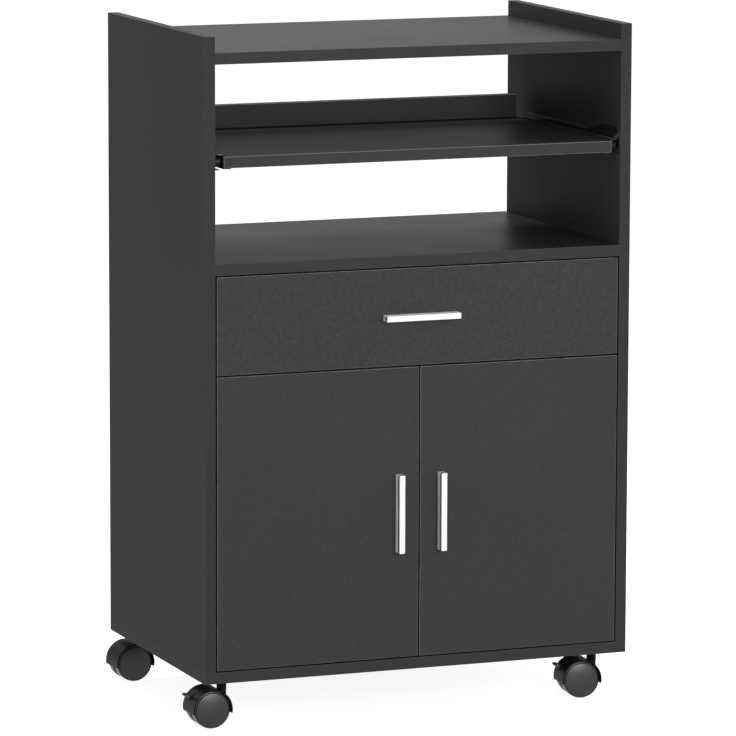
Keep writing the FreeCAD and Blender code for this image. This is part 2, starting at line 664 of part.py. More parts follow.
def make_door(label, side):
    """A door with its cup pockets, handle, hinge cups and strike plate."""
    x = "-places.front_width / 2" if side < 0 else "sizes.front_gap / 2"
    board = box(f"{label}_board", "places.door_width", "sizes.board", "places.door_height",
                x, "-places.half_depth", "places.door_under")
    cup_x = f"{side} * (places.hinged_edge - sizes.cup_edge_inset)"
    pockets = []
    cups = []
    for name, level in HINGES:
        pockets.append(prism(f"{label}_{name}_pocket", CUP_FLATS, "sizes.cup_diameter / 2",
                             "sizes.cup_depth + sizes.overrun", cup_x,
                             "places.front_back + sizes.overrun", level, FORWARDS))
        cups.append(hinge_cup(f"{label}_{name}_cup", side, cup_x, level))
    door = cut(label, board, pockets)
    keep(ease(label, door, on_plane("Y", "-places.half_depth")), label)
    make_handle(f"{label}_handle", f"{side} * (sizes.front_gap / 2 + sizes.handle_edge_inset)",
                "places.door_middle", True)
    keep(group(f"{label}_cups", cups), f"{label}_hinge_cups")
    near = "sizes.front_gap / 2 + sizes.catch_length / 4 - sizes.strike_size / 2"
    strike_x = near if side > 0 else f"-({near}) - sizes.strike_size"
    strike = box(f"{label}_strike", "sizes.strike_size", "sizes.strike_metal", "sizes.strike_size",
                 strike_x, "places.front_back",
                 "places.stretcher_under - sizes.catch_height / 2 - sizes.strike_size / 2")
    keep(strike, f"{label}_strike_plate")


def hinge_cup(name, side, x, level):
    """A hinge cup with its screw flange and the pin that carries the link."""
    bowl = prism(f"{name}_bowl", CUP_FLATS, "sizes.cup_diameter / 2", "sizes.cup_depth",
                 x, "places.front_back", level, FORWARDS)
    flange = box(f"{name}_flange", "sizes.cup_flange_depth", "sizes.cup_wall", "sizes.cup_flange_width",
                 f"{x} - sizes.cup_flange_depth / 2", "places.front_back",
                 f"{level} - sizes.cup_flange_width / 2")
    hollow = prism(f"{name}_hollow", CUP_FLATS, "sizes.cup_diameter / 2 - sizes.cup_wall",
                   "sizes.cup_depth + sizes.overrun", x,
                   "places.front_back + sizes.cup_wall + sizes.overrun", level, FORWARDS)
    pin = prism(f"{name}_pin", PIN_FLATS, "sizes.hinge_pin_diameter / 2", "2 * places.cup_pin_reach",
                f"{side} * (places.hinged_edge - sizes.cup_pin_inset)",
                "sizes.cup_pin_back - places.half_depth", f"{level} - places.cup_pin_reach")
    shell = cut(name, fuse(f"{name}_blank", [bowl, flange]), [hollow])
    return fuse(f"{name}_whole", [shell, pin])


def strip(name, side, start, end, low):
    """A flat bar of the link between two points, each an inset from the hinged edge and a depth."""
    run = f"({end[0]} - {start[0]})"
    rise = f"({end[1]} - {start[1]})"
    bar = box(f"{name}_bar", f"sqrt({run} ^ 2 + {rise} ^ 2)", "sizes.link_metal", "sizes.link_width",
              "0", "-sizes.link_metal / 2", "0")
    turned = group(name, [bar])
    place(turned, f"{side} * (places.hinged_edge - {start[0]})", f"{start[1]} - places.half_depth",
          low, f"atan2({rise}; {-side} * {run})")
    return turned


def hinge_link(name, side, level):
    """A bent link: an eye on the cup's pin, a run along the cup's floor and a leg up to the arm's pin."""
    low = f"{level} - sizes.link_width / 2"
    cup_pin = ("sizes.cup_pin_inset", "sizes.cup_pin_back")
    first = ("(sizes.cup_pin_inset + sizes.link_metal)", "sizes.link_bend_back")
    second = ("sizes.link_bend_inset", "sizes.link_bend_back")
    arm_pin = ("sizes.arm_pin_inset", "sizes.arm_pin_back")
    route = [cup_pin, first, second, arm_pin]
    pieces = []
    for index, (start, end) in enumerate(zip(route, route[1:])):
        pieces.append(strip(f"{name}_strip_{index}", side, start, end, low))
    for index, point in enumerate((first, second)):
        pieces.append(cylinder(f"{name}_bend_{index}", "sizes.link_metal / 2", "sizes.link_width",
                               f"{side} * (places.hinged_edge - {point[0]})",
                               f"{point[1]} - places.half_depth", low))
    bores = []
    for index, point in enumerate((cup_pin, arm_pin)):
        pieces.append(prism(f"{name}_eye_{index}", EYE_FLATS, "sizes.link_eye_diameter / 2", "sizes.link_width",
                            f"{side} * (places.hinged_edge - {point[0]})",
                            f"{point[1]} - places.half_depth", low))
        bores.append(cylinder(f"{name}_bore_{index}", "places.hinge_bore", "sizes.link_width",
                              f"{side} * (places.hinged_edge - {point[0]})",
                              f"{point[1]} - places.half_depth", low))
    return cut(name, fuse(f"{name}_blank", pieces), bores)


def hinge_arm(name, side, level):
    """A hinge arm: two cheeks and a back, from the plate forwards to the pin that carries the link."""
    inner = "(places.mount_face + sizes.arm_depth)"
    nose = "sizes.arm_nose_radius"
    points = [("places.mount_face", "places.arm_rear"), (inner, "places.arm_rear"),
              (inner, "places.arm_knee + 2 * sizes.mount_wing"),
              (f"(sizes.arm_pin_inset + {nose})", "sizes.arm_pin_back"),
              ("sizes.arm_pin_inset", f"sizes.arm_pin_back - {nose}"),
              (f"(sizes.arm_pin_inset - {nose})", "sizes.arm_pin_back"),
              ("places.mount_face", "places.arm_knee")]
    points = [(f"{-side} * {inset}", back) for inset, back in points]
    body = new_body(name)
    whole = outline_on(body, "XY_Plane", f"{name}_outline", points)
    pad(body, whole, f"{name}_pad", "sizes.arm_width")
    near = f"{-side} * (places.mount_face - sizes.overrun)"
    far = f"{-side} * (sizes.arm_pin_inset + 2 * {nose})"
    front = f"sizes.arm_pin_back - 2 * {nose}"
    rear = "places.arm_knee + 2 * sizes.mount_wing"
    channel = outline_on(body, "XY_Plane", f"{name}_channel",
                         [(near, front), (far, front), (far, rear), (near, rear)],
                         "sizes.arm_width - sizes.arm_metal")
    pocket(body, channel, f"{name}_pocket", "sizes.arm_width - 2 * sizes.arm_metal")
    pin = pin_outline_on(body, "XY_Plane", f"{name}_pin_outline",
                    (f"{-side} * sizes.arm_pin_inset", "sizes.arm_pin_back"), "sizes.hinge_pin_diameter / 2")
    pad(body, pin, f"{name}_pin", "sizes.arm_width")
    place(body, f"{side} * places.hinged_edge", "-places.half_depth", f"{level} - sizes.arm_width / 2")
    return body


def hinge_mount(name, side, level):
    """A mounting plate on the side panel, with an upper and a lower screw wing."""
    x = "-places.inner_half" if side < 0 else "places.inner_half - sizes.mount_metal"
    rail = box(f"{name}_rail", "sizes.mount_metal", "sizes.mount_length", "sizes.arm_width",
               x, "places.arm_rear - sizes.mount_length - places.half_depth",
               f"{level} - sizes.arm_width / 2")
    wings = box(f"{name}_wings", "sizes.mount_metal", "sizes.mount_wing", "sizes.mount_height",
                x, "places.arm_knee - places.half_depth", f"{level} - sizes.mount_height / 2")
    return fuse(name, [rail, wings])


def make_hinges():
    """Plates and arms on the case, and the links between arms and cups."""
    mounts = []
    arms = []
    for word, side in SIDES:
        links = []
        for name, level in HINGES:
            mounts.append(hinge_mount(f"{word}_{name}_mount", side, level))
            arms.append(hinge_arm(f"{word}_{name}_arm", side, level))
            links.append(hinge_link(f"{word}_{name}_link", side, level))
        keep(group(f"{word}_links", links), f"{word}_hinge_links")
    keep(group("hinge_mounts", mounts), "hinge_plates")
    keep(group("hinge_arm_set", arms), "hinge_arms")
    catch = box("catch_block", "sizes.catch_length", "sizes.catch_depth", "sizes.catch_height",
                "-sizes.catch_length / 2", "places.stretcher_front",
                "places.stretcher_under - sizes.catch_height")
    keep(catch, "magnet_catch")


# Casters


def on_caster(label, word, side, end, piece):
    """A piece drawn about the swivel axis, put in its caster's place and turn."""
    feature = group(f"{label}_placed", [piece])
    place(feature, f"{side} * places.caster_x", f"{end} * places.caster_y", "0", f"sizes.turn_{word}")
    return keep(feature, label)


def brake_frame(name, piece):
    """A piece drawn about the brake's pivot, put in its place on the caster."""
    turned = group(name, [piece], BACKWARDS)
    place(turned, "places.brake_x", "0", "places.brake_z", "places.brake_turn")
    return turned


def brake_room(name):
    """Room in the hood for the brake lever's eye, its tongue and its swing."""
    radius = "2 * sizes.brake_metal + sizes.brake_slot_play"
    eye = prism(f"{name}_eye", EYE_FLATS, radius, "2 * places.tongue_room", "0", "-places.tongue_room", "0",
                BACKWARDS)
    slot = box(f"{name}_slot", "places.hood_radius", "2 * places.tongue_room",
               "sizes.brake_swing_room + 2 * sizes.brake_metal",
               "0", "-places.tongue_room", "-sizes.brake_swing_room")
    return brake_frame(f"{name}_turned", fuse(f"{name}_tool", [eye, slot]))


def make_hood(word, side, end, braked):
    """A hood: a shell over both wheels, a middle web up to the neck round the stem, and the axle."""
    label = f"{word}_caster_hood"
    trail = "-sizes.caster_trail"
    shell = prism(f"{label}_shell", HOOD_FLATS, "places.hood_radius", "sizes.hood_width",
                  trail, "-sizes.hood_width / 2", "places.axle_level", BACKWARDS)
    neck = prism(f"{label}_neck", NECK_FLATS, "sizes.neck_diameter / 2", "places.neck_top - places.neck_low",
                 "0", "0", "places.neck_low")
    rib = box(f"{label}_rib", "sizes.caster_trail + sizes.neck_diameter / 2 - sizes.overrun",
              "sizes.web_thickness", "places.neck_low + sizes.overrun - places.axle_level",
              trail, "-sizes.web_thickness / 2", "places.axle_level")
    tools = []
    for name, y in (("near", "sizes.web_thickness / 2"), ("far", "-sizes.web_thickness / 2 - places.hood_room")):
        tools.append(prism(f"{label}_{name}_room", ROOM_FLATS, "places.room_radius", "places.hood_room",
                           trail, y, "places.axle_level", BACKWARDS))
    tools.append(box(f"{label}_below", "4 * places.hood_radius", "2 * sizes.hood_width", "places.hood_radius",
                     f"{trail} - 2 * places.hood_radius", "-sizes.hood_width",
                     "places.axle_level - sizes.hood_skirt - places.hood_radius"))
    tools.append(cylinder(f"{label}_stem_bore", "sizes.stem_diameter / 2 + sizes.running_clearance",
                          "places.neck_top - places.stem_end + sizes.neck_gap + sizes.overrun",
                          "0", "0", "places.stem_end - sizes.neck_gap"))
    additions = [prism(f"{label}_axle", PIN_FLATS, "sizes.axle_diameter / 2", "sizes.axle_length",
                       trail, "-sizes.axle_length / 2", "places.axle_level", BACKWARDS)]
    if braked:
        tools.append(brake_room(f"{label}_brake"))
        pin = prism(f"{label}_brake_pin", PIN_FLATS, "sizes.brake_pin_diameter / 2", "sizes.web_thickness",
                    "places.brake_x", "-sizes.web_thickness / 2", "places.brake_z", BACKWARDS)
        additions.append(pin)
    hood = cut(label, fuse(f"{label}_blank", [shell, neck, rib]), tools)
    on_caster(label, word, side, end, fuse(f"{label}_whole", [hood] + additions))


def make_brake(word, side, end):
    """A brake lever: an eye and tongue between the hood's cheeks, and a leaf-shaped blade outside."""
    label = f"{word}_brake_lever"
    tongue = "sizes.brake_tongue"
    half = "-sizes.brake_metal / 2"
    eye = prism(f"{label}_eye", EYE_FLATS, "sizes.brake_metal", tongue, "0", f"-{tongue} / 2", "0", BACKWARDS)
    stalk = box(f"{label}_stalk", "places.blade_start + places.blade_length / 2", tongue,
                "sizes.brake_metal", "0", f"-{tongue} / 2", half)
    arcs = []
    for name, way in (("low", -1), ("high", 1)):
        arcs.append(cylinder(f"{label}_{name}_arc", "places.blade_curve", "sizes.brake_metal",
                             "places.blade_start", f"{way} * (places.blade_curve - sizes.brake_width / 2)", half))
    outer = box(f"{label}_outer", "2 * places.blade_length", "2 * sizes.brake_width", "2 * sizes.brake_metal",
                "places.blade_start", "-sizes.brake_width", "-sizes.brake_metal")
    blade = common(f"{label}_blade", arcs + [outer])
    bore = cylinder(f"{label}_bore", "sizes.brake_pin_diameter / 2 + sizes.running_clearance", tongue,
                    "0", f"-{tongue} / 2", "0", BACKWARDS)
    lever = cut(label, fuse(f"{label}_blank", [eye, stalk, blade]), [bore])
    on_caster(label, word, side, end, brake_frame(f"{label}_turned", lever))


def make_wheel(label, word, side, end, way):
    """A wheel: a tread with a bevelled outer face and a blind bore, open towards the web."""
    direction = BACKWARDS * way
    trail = "-sizes.caster_trail"
    blank = prism(f"{label}_blank", WHEEL_FLATS, "sizes.wheel_diameter / 2",
                  "sizes.wheel_width + sizes.wheel_bevel",
                  trail, f"{way} * places.wheel_near", "places.axle_level", direction)
    face = on_plane("Y", f"{way} * (places.wheel_near + sizes.wheel_width + sizes.wheel_bevel)")
    tread = ease(label, blank, face, "sizes.wheel_bevel")
    bore = cylinder(f"{label}_bore", "sizes.axle_diameter / 2 + sizes.running_clearance",
                    "sizes.axle_length / 2 + sizes.wheel_gap", trail, "0", "places.axle_level", direction)
    on_caster(label, word, side, end, cut(label, tread, [bore]))


def make_casters():
    """Plates with their stems, hoods, wheels and brake levers."""
    plates = []
    for word, side, end, braked in CASTERS:
        plate = box(f"{word}_plate", "sizes.plate_size", "sizes.plate_size", "sizes.plate_metal",
                    f"{side} * places.caster_x - sizes.plate_size / 2",
                    f"{end} * places.caster_y - sizes.plate_size / 2", "places.plate_under")
        metal = number("sizes.plate_metal")
        small = number("sizes.running_clearance")
        eased = ease(f"{word}_plate", plate, lambda edge: abs(edge.Length - metal) < small, "sizes.plate_corner")
        stem = prism(f"{word}_stem", PIN_FLATS, "sizes.stem_diameter / 2", "sizes.stem_length",
                     f"{side} * places.caster_x", f"{end} * places.caster_y", "places.stem_end")
        plates.append(fuse(f"{word}_plate_and_stem", [eased, stem]))
        make_hood(word, side, end, braked)
        make_wheel(f"{word}_outer_wheel", word, side, end, -1)
        make_wheel(f"{word}_inner_wheel", word, side, end, 1)
        if braked:
            make_brake(word, side, end)
    keep(group("caster_plate_set", plates), "caster_plates")


def check_and_write():
    """Check every object and write each sub-part to its own file."""
    doc.recompute()
    faults = [item.Name for item in doc.Objects if "Invalid" in item.State or "Error" in item.State]
    if faults:
        raise ValueError(f"objects that failed: {faults}")
    for feature in PARTS:
        shape = feature.Shape
        if shape.isNull() or not shape.isValid() or not shape.Solids:
            raise ValueError(f"{feature.Label} has no valid solid")
    os.makedirs("parts", exist_ok=True)
    for feature in PARTS:
        feature.Shape.exportStep(f"parts/{feature.Label}.step")
    print(len(PARTS), "sub-parts,", sum(len(feature.Shape.Solids) for feature in PARTS), "solids")


make_case()
make_shelf()
make_drawer()
for door_word, door_side in SIDES:
    make_door(f"{door_word}_door", door_side)
make_hinges()
make_casters()
check_and_write()
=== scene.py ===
"""Dresses a rolling kitchen cart: faced boards, slides, handles, cup hinges and twin-wheel casters.

The part's frame has +X to the right, +Y to the back and +Z up, in metres, with its origin on
the floor under the middle of the case. The fixed frame carries every solid; this script gives
each its finish, puts finely rounded forms in place of the metal and plastic ones, adds the
small fixings that repeat, and sets up a plain pale studio.
"""

import json
import logging
import math
from dataclasses import dataclass, field, replace
from enum import Enum
from typing import Any, Callable, Iterable, Sequence, Union

import bmesh
import bpy
from mathutils import Matrix, Vector


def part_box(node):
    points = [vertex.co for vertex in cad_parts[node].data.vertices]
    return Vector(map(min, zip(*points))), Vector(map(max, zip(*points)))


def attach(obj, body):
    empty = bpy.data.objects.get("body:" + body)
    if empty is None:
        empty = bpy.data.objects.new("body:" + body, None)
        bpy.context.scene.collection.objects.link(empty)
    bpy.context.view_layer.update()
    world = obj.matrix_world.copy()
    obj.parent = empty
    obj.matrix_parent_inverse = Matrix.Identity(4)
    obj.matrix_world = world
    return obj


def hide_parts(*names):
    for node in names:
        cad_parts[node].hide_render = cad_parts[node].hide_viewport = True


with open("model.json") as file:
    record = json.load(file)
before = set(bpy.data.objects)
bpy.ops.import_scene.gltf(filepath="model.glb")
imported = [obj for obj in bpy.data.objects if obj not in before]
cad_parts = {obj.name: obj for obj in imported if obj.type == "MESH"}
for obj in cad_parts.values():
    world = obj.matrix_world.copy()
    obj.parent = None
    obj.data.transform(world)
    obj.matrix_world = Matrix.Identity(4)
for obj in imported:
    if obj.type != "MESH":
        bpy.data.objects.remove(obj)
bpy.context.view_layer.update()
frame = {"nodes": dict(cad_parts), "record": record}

LOG = logging.getLogger("kitchen_cart")
MM = 0.001

# Where the case and the handles' side grooves lie, the groove's back in the solid and here
SIDES = (("left", -1.0), ("right", 1.0))
INNER_HALF = 285 * MM
CASE_FRONT = -192.5 * MM
GROOVE_FRONT = -205 * MM
GROOVE_BACK = -201 * MM
GROOVE_END = -199.5 * MM

# How forms are merged and smoothed, with angles in degrees
MERGE = 0.002 * MM
FLAT_ANGLE = 0.5
SHARP_ANGLE = 32.0
BEVEL_SEGMENTS = 2

HEAD_SLOT = "plate_steel"
WHITE = (1.0, 1.0, 1.0)

RECORD = frame["record"]
SLOT_OF = {part["node"]: part["material_slot"] for part in RECORD["subparts"]}
BODY_OF = {node: body for body, nodes in RECORD["behaviour"]["bodies"].items() for node in nodes}

Colour = tuple[float, float, float]
Place = tuple[float, float, float]
Number = Union[float, "Value"]


class Grain(Enum):
    """How the face of a board is embossed."""

    SATIN = "satin"
    PEBBLED = "pebbled"
    PAPER = "paper"


class Axis(Enum):
    """The cart's axes, as unit vectors."""

    X = (1.0, 0.0, 0.0)
    Y = (0.0, 1.0, 0.0)
    Z = (0.0, 0.0, 1.0)

    def vector(self, length: float = 1.0) -> Vector:
        """Return a vector of the given length along the axis."""
        return Vector(self.value) * length


@dataclass(frozen=True)
class Pattern:
    """A noise: its features per metre, its octaves, and how it is eased and drawn out.

    Stretch is a factor for each axis, where less than 1 draws the pattern out. Coarse is how
    much each octave adds to the one before.
    """

    per_metre: float
    octaves: float
    span: tuple[float, float] | None = None
    stretch: Place = (1.0, 1.0, 1.0)
    coarse: float = 0.55


class Recess(Enum):
    """The drive in a screw's head, by its number of sides."""

    NONE = 0
    CROSS = 4
    HEX = 6


# Node graphs


class Value:
    """A socket that carries a number, with arithmetic that adds Math nodes."""

    def __init__(self, graph: "Graph", socket: bpy.types.NodeSocket) -> None:
        """Wrap a socket.

        Args:
            graph: The graph that owns the socket.
            socket: An output socket that carries a number.
        """
        self.graph = graph
        self.socket = socket

    def __add__(self, other: Number) -> "Value":
        """Return self + other."""
        return self.graph.maths("ADD", self, other)

    __radd__ = __add__

    def __sub__(self, other: Number) -> "Value":
        """Return self - other."""
        return self.graph.maths("SUBTRACT", self, other)

    def __rsub__(self, other: Number) -> "Value":
        """Return other - self."""
        return self.graph.maths("SUBTRACT", other, self)

    def __mul__(self, other: Number) -> "Value":
        """Return self * other."""
        return self.graph.maths("MULTIPLY", self, other)

    __rmul__ = __mul__

    def magnitude(self) -> "Value":
        """Return the value without its sign."""
        return self.graph.maths("ABSOLUTE", self)

    def at_most(self, limit: float) -> "Value":
        """Return the value, or the limit where it is larger."""
        return self.graph.maths("MINIMUM", self, limit)

    def ramp(self, low: float, high: float) -> "Value":
        """Rise smoothly from 0 at low to 1 at high.

        Args:
            low: Where the rise starts.
            high: Where it ends.

        Returns:
            The eased value, between 0 and 1.
        """
        node = self.graph.node("ShaderNodeMapRange", {"interpolation_type": "SMOOTHSTEP"}, {
            "Value": self, "From Min": low, "From Max": high})
        return Value(self.graph, node.outputs["Result"])


class Graph:
    """A node tree of any kind, built from expressions and one method for every other node."""

    def __init__(self, tree: bpy.types.NodeTree) -> None:
        """Start with an empty tree.

        Args:
            tree: The tree of a material, a world or a modifier.
        """
        self.tree = tree
        self.tree.nodes.clear()

    def node(self, kind: str, settings: dict[str, Any], inputs: dict[str, Any]) -> bpy.types.Node:
        """Add one node.

        Args:
            kind: The node's type.
            settings: Properties that are set before the sockets.
            inputs: Values or links, by socket name or identifier.

        Returns:
            The new node.
        """
        node = self.tree.nodes.new(kind)
        for name, value in settings.items():
            setattr(node, name, value)
        for name, value in inputs.items():
            socket = next(s for s in node.inputs if name in (s.identifier, s.name) and s.enabled)
            self.feed(socket, value)
        return node

    def feed(self, socket: bpy.types.NodeSocket, value: Any) -> None:
        """Set a socket to a constant, or link it.

        Args:
            socket: An input socket.
            value: A number, colour, vector, Value or output socket.
        """
        if isinstance(value, Value):
            self.tree.links.new(value.socket, socket)
        elif isinstance(value, bpy.types.NodeSocket):
            self.tree.links.new(value, socket)
        elif isinstance(value, tuple) and socket.type == "RGBA" and len(value) == 3:
            socket.default_value = (*value, 1.0)
        else:
            socket.default_value = value

    def maths(self, operation: str, *terms: Number) -> Value:
        """Add a Math node.

        Args:
            operation: The node's operation.
            terms: Its inputs in order.

        Returns:
            The result.
        """
        names = ("Value", "Value_001", "Value_002")
        node = self.node("ShaderNodeMath", {"operation": operation}, dict(zip(names, terms)))
        return Value(self, node.outputs[0])

    def seen(self) -> Value:
        """Tell rays that show the background from rays that bring light.

        Returns:
            1 for rays from the camera, off gloss or through glass, and 0 for the others.
        """
        path = self.node("ShaderNodeLightPath", {}, {}).outputs
        straight, gloss, through = (Value(self, path[name]) for name in (
            "Is Camera Ray", "Is Glossy Ray", "Is Transmission Ray"))
        return (straight + gloss + through).at_most(1.0)


class Surface(Graph):
    """A material's node tree."""

    def __init__(self, name: str) -> None:
        """Start an empty material.

        Args:
            name: The material's name.
        """
        self.material = bpy.data.materials.new(name)
        self.material.use_nodes = True
        super().__init__(self.material.node_tree)

    def place(self) -> bpy.types.NodeSocket:
        """Return the Object coordinates."""
        return self.node("ShaderNodeTexCoord", {}, {}).outputs["Object"]

    def dot(self, first: Any, second: Any) -> Value:
        """Multiply two vectors into a number.

        Args:
            first: A vector or socket.
            second: A vector or socket.

        Returns:
            Their dot product.
        """
        node = self.node("ShaderNodeVectorMath", {"operation": "DOT_PRODUCT"}, {
            "Vector": first, "Vector_001": second})
        return Value(self, node.outputs["Value"])

    def facing(self, axis: Axis) -> Value:
        """Measure how squarely the surface faces along an axis, either way.

        Args:
            axis: The axis to compare with.

        Returns:
            0 for a surface along the axis and 1 for one square to it.
        """
        normal = self.node("ShaderNodeTexCoord", {}, {}).outputs["Normal"]
        return self.dot(normal, axis.value).magnitude()

    def between(self, axis: Axis, low: float, high: float, soft: float = 0.15 * MM) -> Value:
        """Mark the part of the surface that lies between two levels along an axis.

        Args:
            axis: The axis along which the levels are measured.
            low: The lower level in metres.
            high: The upper level in metres.
            soft: Half the width of the soft borders.

        Returns:
            1 between the levels and 0 outside them.
        """
        level = self.dot(self.place(), axis.value)
        return level.ramp(low - soft, low + soft) - level.ramp(high - soft, high + soft)

    def noise(self, pattern: Pattern) -> Value:
        """Add a noise pattern in the object's own space.

        Args:
            pattern: The pattern.

        Returns:
            The noise, about 0.5 on average, or 0 to 1 over the pattern's span.
        """
        mapping = self.node("ShaderNodeMapping", {}, {
            "Vector": self.place(), "Scale": pattern.stretch})
        node = self.node("ShaderNodeTexNoise", {}, {
            "Vector": mapping.outputs[0], "Scale": pattern.per_metre,
            "Detail": pattern.octaves, "Roughness": pattern.coarse})
        noise = Value(self, node.outputs[0])
        return noise.ramp(*pattern.span) if pattern.span else noise

    def cells(self, per_metre: float) -> Value:
        """Add a pattern of rounded cells.

        Args:
            per_metre: Cells per metre.

        Returns:
            The distance to the nearest cell's middle.
        """
        node = self.node("ShaderNodeTexVoronoi", {"feature": "SMOOTH_F1"}, {
            "Vector": self.place(), "Scale": per_metre})
        return Value(self, node.outputs["Distance"])

    def blend(self, share: Number, first: Any, second: Any) -> bpy.types.NodeSocket:
        """Mix two colours.

        Args:
            share: How much of the second.
            first: A colour or socket.
            second: A colour or socket.

        Returns:
            The mixed colour's socket.
        """
        node = self.node("ShaderNodeMix", {"data_type": "RGBA"}, {
            "Factor_Float": share, "A_Color": first, "B_Color": second})
        return next(s for s in node.outputs if s.identifier == "Result_Color")

    def bump(self, height: Value, depth: float) -> bpy.types.NodeSocket:
        """Turn a height into a normal.

        Args:
            height: The relief.
            depth: The relief's depth in metres for a change of 1.

        Returns:
            The normal's socket.
        """
        return self.node("ShaderNodeBump", {}, {
            "Strength": 1.0, "Distance": depth, "Height": height}).outputs["Normal"]

    def edges(self, width: float, low: float = 0.01, high: float = 0.16,
              samples: int = 4) -> Value:
        """Find the outer edges of a form, by how a rounded normal departs from the true one.

        Args:
            width: How far from an edge the mask reaches, in metres.
            low: The departure at which the mask starts.
            high: The departure at which it is full.
            samples: Rays for the rounded normal.

        Returns:
            0 on flat faces and near 1 on edges.
        """
        rounded = self.node("ShaderNodeBevel", {"samples": samples}, {"Radius": width})
        true = self.node("ShaderNodeNewGeometry", {}, {})
        return (1.0 - self.dot(rounded.outputs["Normal"], true.outputs["Normal"])).ramp(low, high)

    def finish(self, inputs: dict[str, Any]) -> bpy.types.Material:
        """Close the graph with a surface shader.

        Args:
            inputs: Values or links for the shader's sockets.

        Returns:
            The finished material.
        """
        shader = self.node("ShaderNodeBsdfPrincipled", {}, inputs)
        self.node("ShaderNodeOutputMaterial", {}, {"Surface": shader.outputs[0]})
        return self.material


def scaled(colour: Colour, share: float) -> Colour:
    """Scale a colour.

    Args:
        colour: A linear colour.
        share: The factor.

    Returns:
        The scaled colour.
    """
    return (colour[0] * share, colour[1] * share, colour[2] * share)


# Finishes


@dataclass(frozen=True)
class FacedBoard:
    """Particle board with an embossed melamine face and trimmed plastic edge bands.

    A lift is how much paler the tone gets, a share how strongly a pattern shows, and the rough
    ones how much a pattern changes the roughness. Spans are where a mask starts and is full. The
    bevelled edges get a painted highlight, and the level faces can get painted shade.
    """

    name: str
    tone: Colour
    grain: Grain
    roughness: float = 0.46
    # Painted highlight: how much paler the bevelled edges get
    bevel_highlight_lift: float = 4.0
    speck_lift: float = 1.7
    speckle: float = 1.8
    mottle: float = 0.4
    gloss: float = 0.03
    # Painted shade on the level faces: how strongly, how dark, the roughness change and the mask's
    # span
    level_shade_share: float = 0.0
    level_shade_tone: float = 0.1
    level_shade_rough: float = -0.14
    level_shade_span: tuple[float, float] = (0.9, 0.99)
    trim_span: tuple[float, float] = (0.12, 0.2)
    shades: tuple[float, float] = (0.8, 1.2)
    clouds: Pattern = Pattern(6.0, 4.0)
    cloud_share: float = 0.35
    cloud_rough: float = 0.12
    specks: Pattern = Pattern(640.0, 2.0)
    speck_rough: float = 0.1
    blotches: Pattern = Pattern(150.0, 2.0)
    grit: Pattern = Pattern(1300.0, 1.0, (0.60, 0.72))
    grit_share: float = 0.5
    # The patches and the roughness change of the painted highlight on the bevelled edges
    edge_patches: Pattern = Pattern(38.0, 3.0, (0.2, 0.5))
    edge_rough: float = -0.08
    pebbles: float = 560.0
    pebble_share: float = 0.7
    pebble_grain: Pattern = Pattern(900.0, 3.0)
    pebble_depth: float = 0.1 * MM
    paper: Pattern = Pattern(420.0, 5.0)
    satin: Pattern = Pattern(760.0, 3.0)
    swell: Pattern = Pattern(210.0, 2.0)
    second_share: float = 0.6
    depth: float = 0.05 * MM

    def relief(self, surface: Surface) -> tuple[Value, float]:
        """Add the embossing.

        Args:
            surface: The graph to add it to.

        Returns:
            The height pattern, and the depth for a change of 1.
        """
        if self.grain is Grain.PEBBLED:
            pebbles = surface.cells(self.pebbles) * self.pebble_share
            return pebbles + surface.noise(self.pebble_grain) * self.second_share, self.pebble_depth
        if self.grain is Grain.PAPER:
            return surface.noise(self.paper), self.depth
        swell = surface.noise(self.swell) * self.second_share
        return surface.noise(self.satin) + swell, self.depth

    def build(self) -> bpy.types.Material:
        """Build the board's material.

        Returns:
            The material.
        """
        surface = Surface(self.name)
        cloud = surface.noise(self.clouds) - 0.5
        speck = surface.noise(self.specks) - 0.5
        blotch = surface.noise(self.blotches) - 0.5
        shade = cloud * self.cloud_share + speck * self.speckle + blotch * self.mottle + 0.5
        body = surface.blend(shade, *(scaled(self.tone, share) for share in self.shades))
        specked = surface.blend(surface.noise(self.grit) * self.grit_share, body,
                                scaled(self.tone, self.speck_lift))
        # Painted highlight: the bevels around faces that look to the front or back get a much paler
        # tone in patches, where light would catch them
        ahead = surface.facing(Axis.Y)
        trimmed = (ahead * (1.0 - ahead)).ramp(*self.trim_span)
        paling = trimmed * surface.noise(self.edge_patches)
        # Painted shade: faces that look up or down are darkened towards a tenth of the tone, and
        # made less rough
        level = surface.facing(Axis.Z).ramp(*self.level_shade_span) * self.level_shade_share
        level_shaded = surface.blend(level, specked, scaled(self.tone, self.level_shade_tone))
        relief, depth = self.relief(surface)
        return surface.finish({
            "Base Color": surface.blend(paling, level_shaded, scaled(self.tone, self.bevel_highlight_lift)),
            "Roughness": self.roughness + cloud * self.cloud_rough + speck * self.speck_rough
                         + paling * self.edge_rough + level * self.level_shade_rough,
            "Specular IOR Level": self.gloss,
            "Normal": surface.bump(relief, depth)})


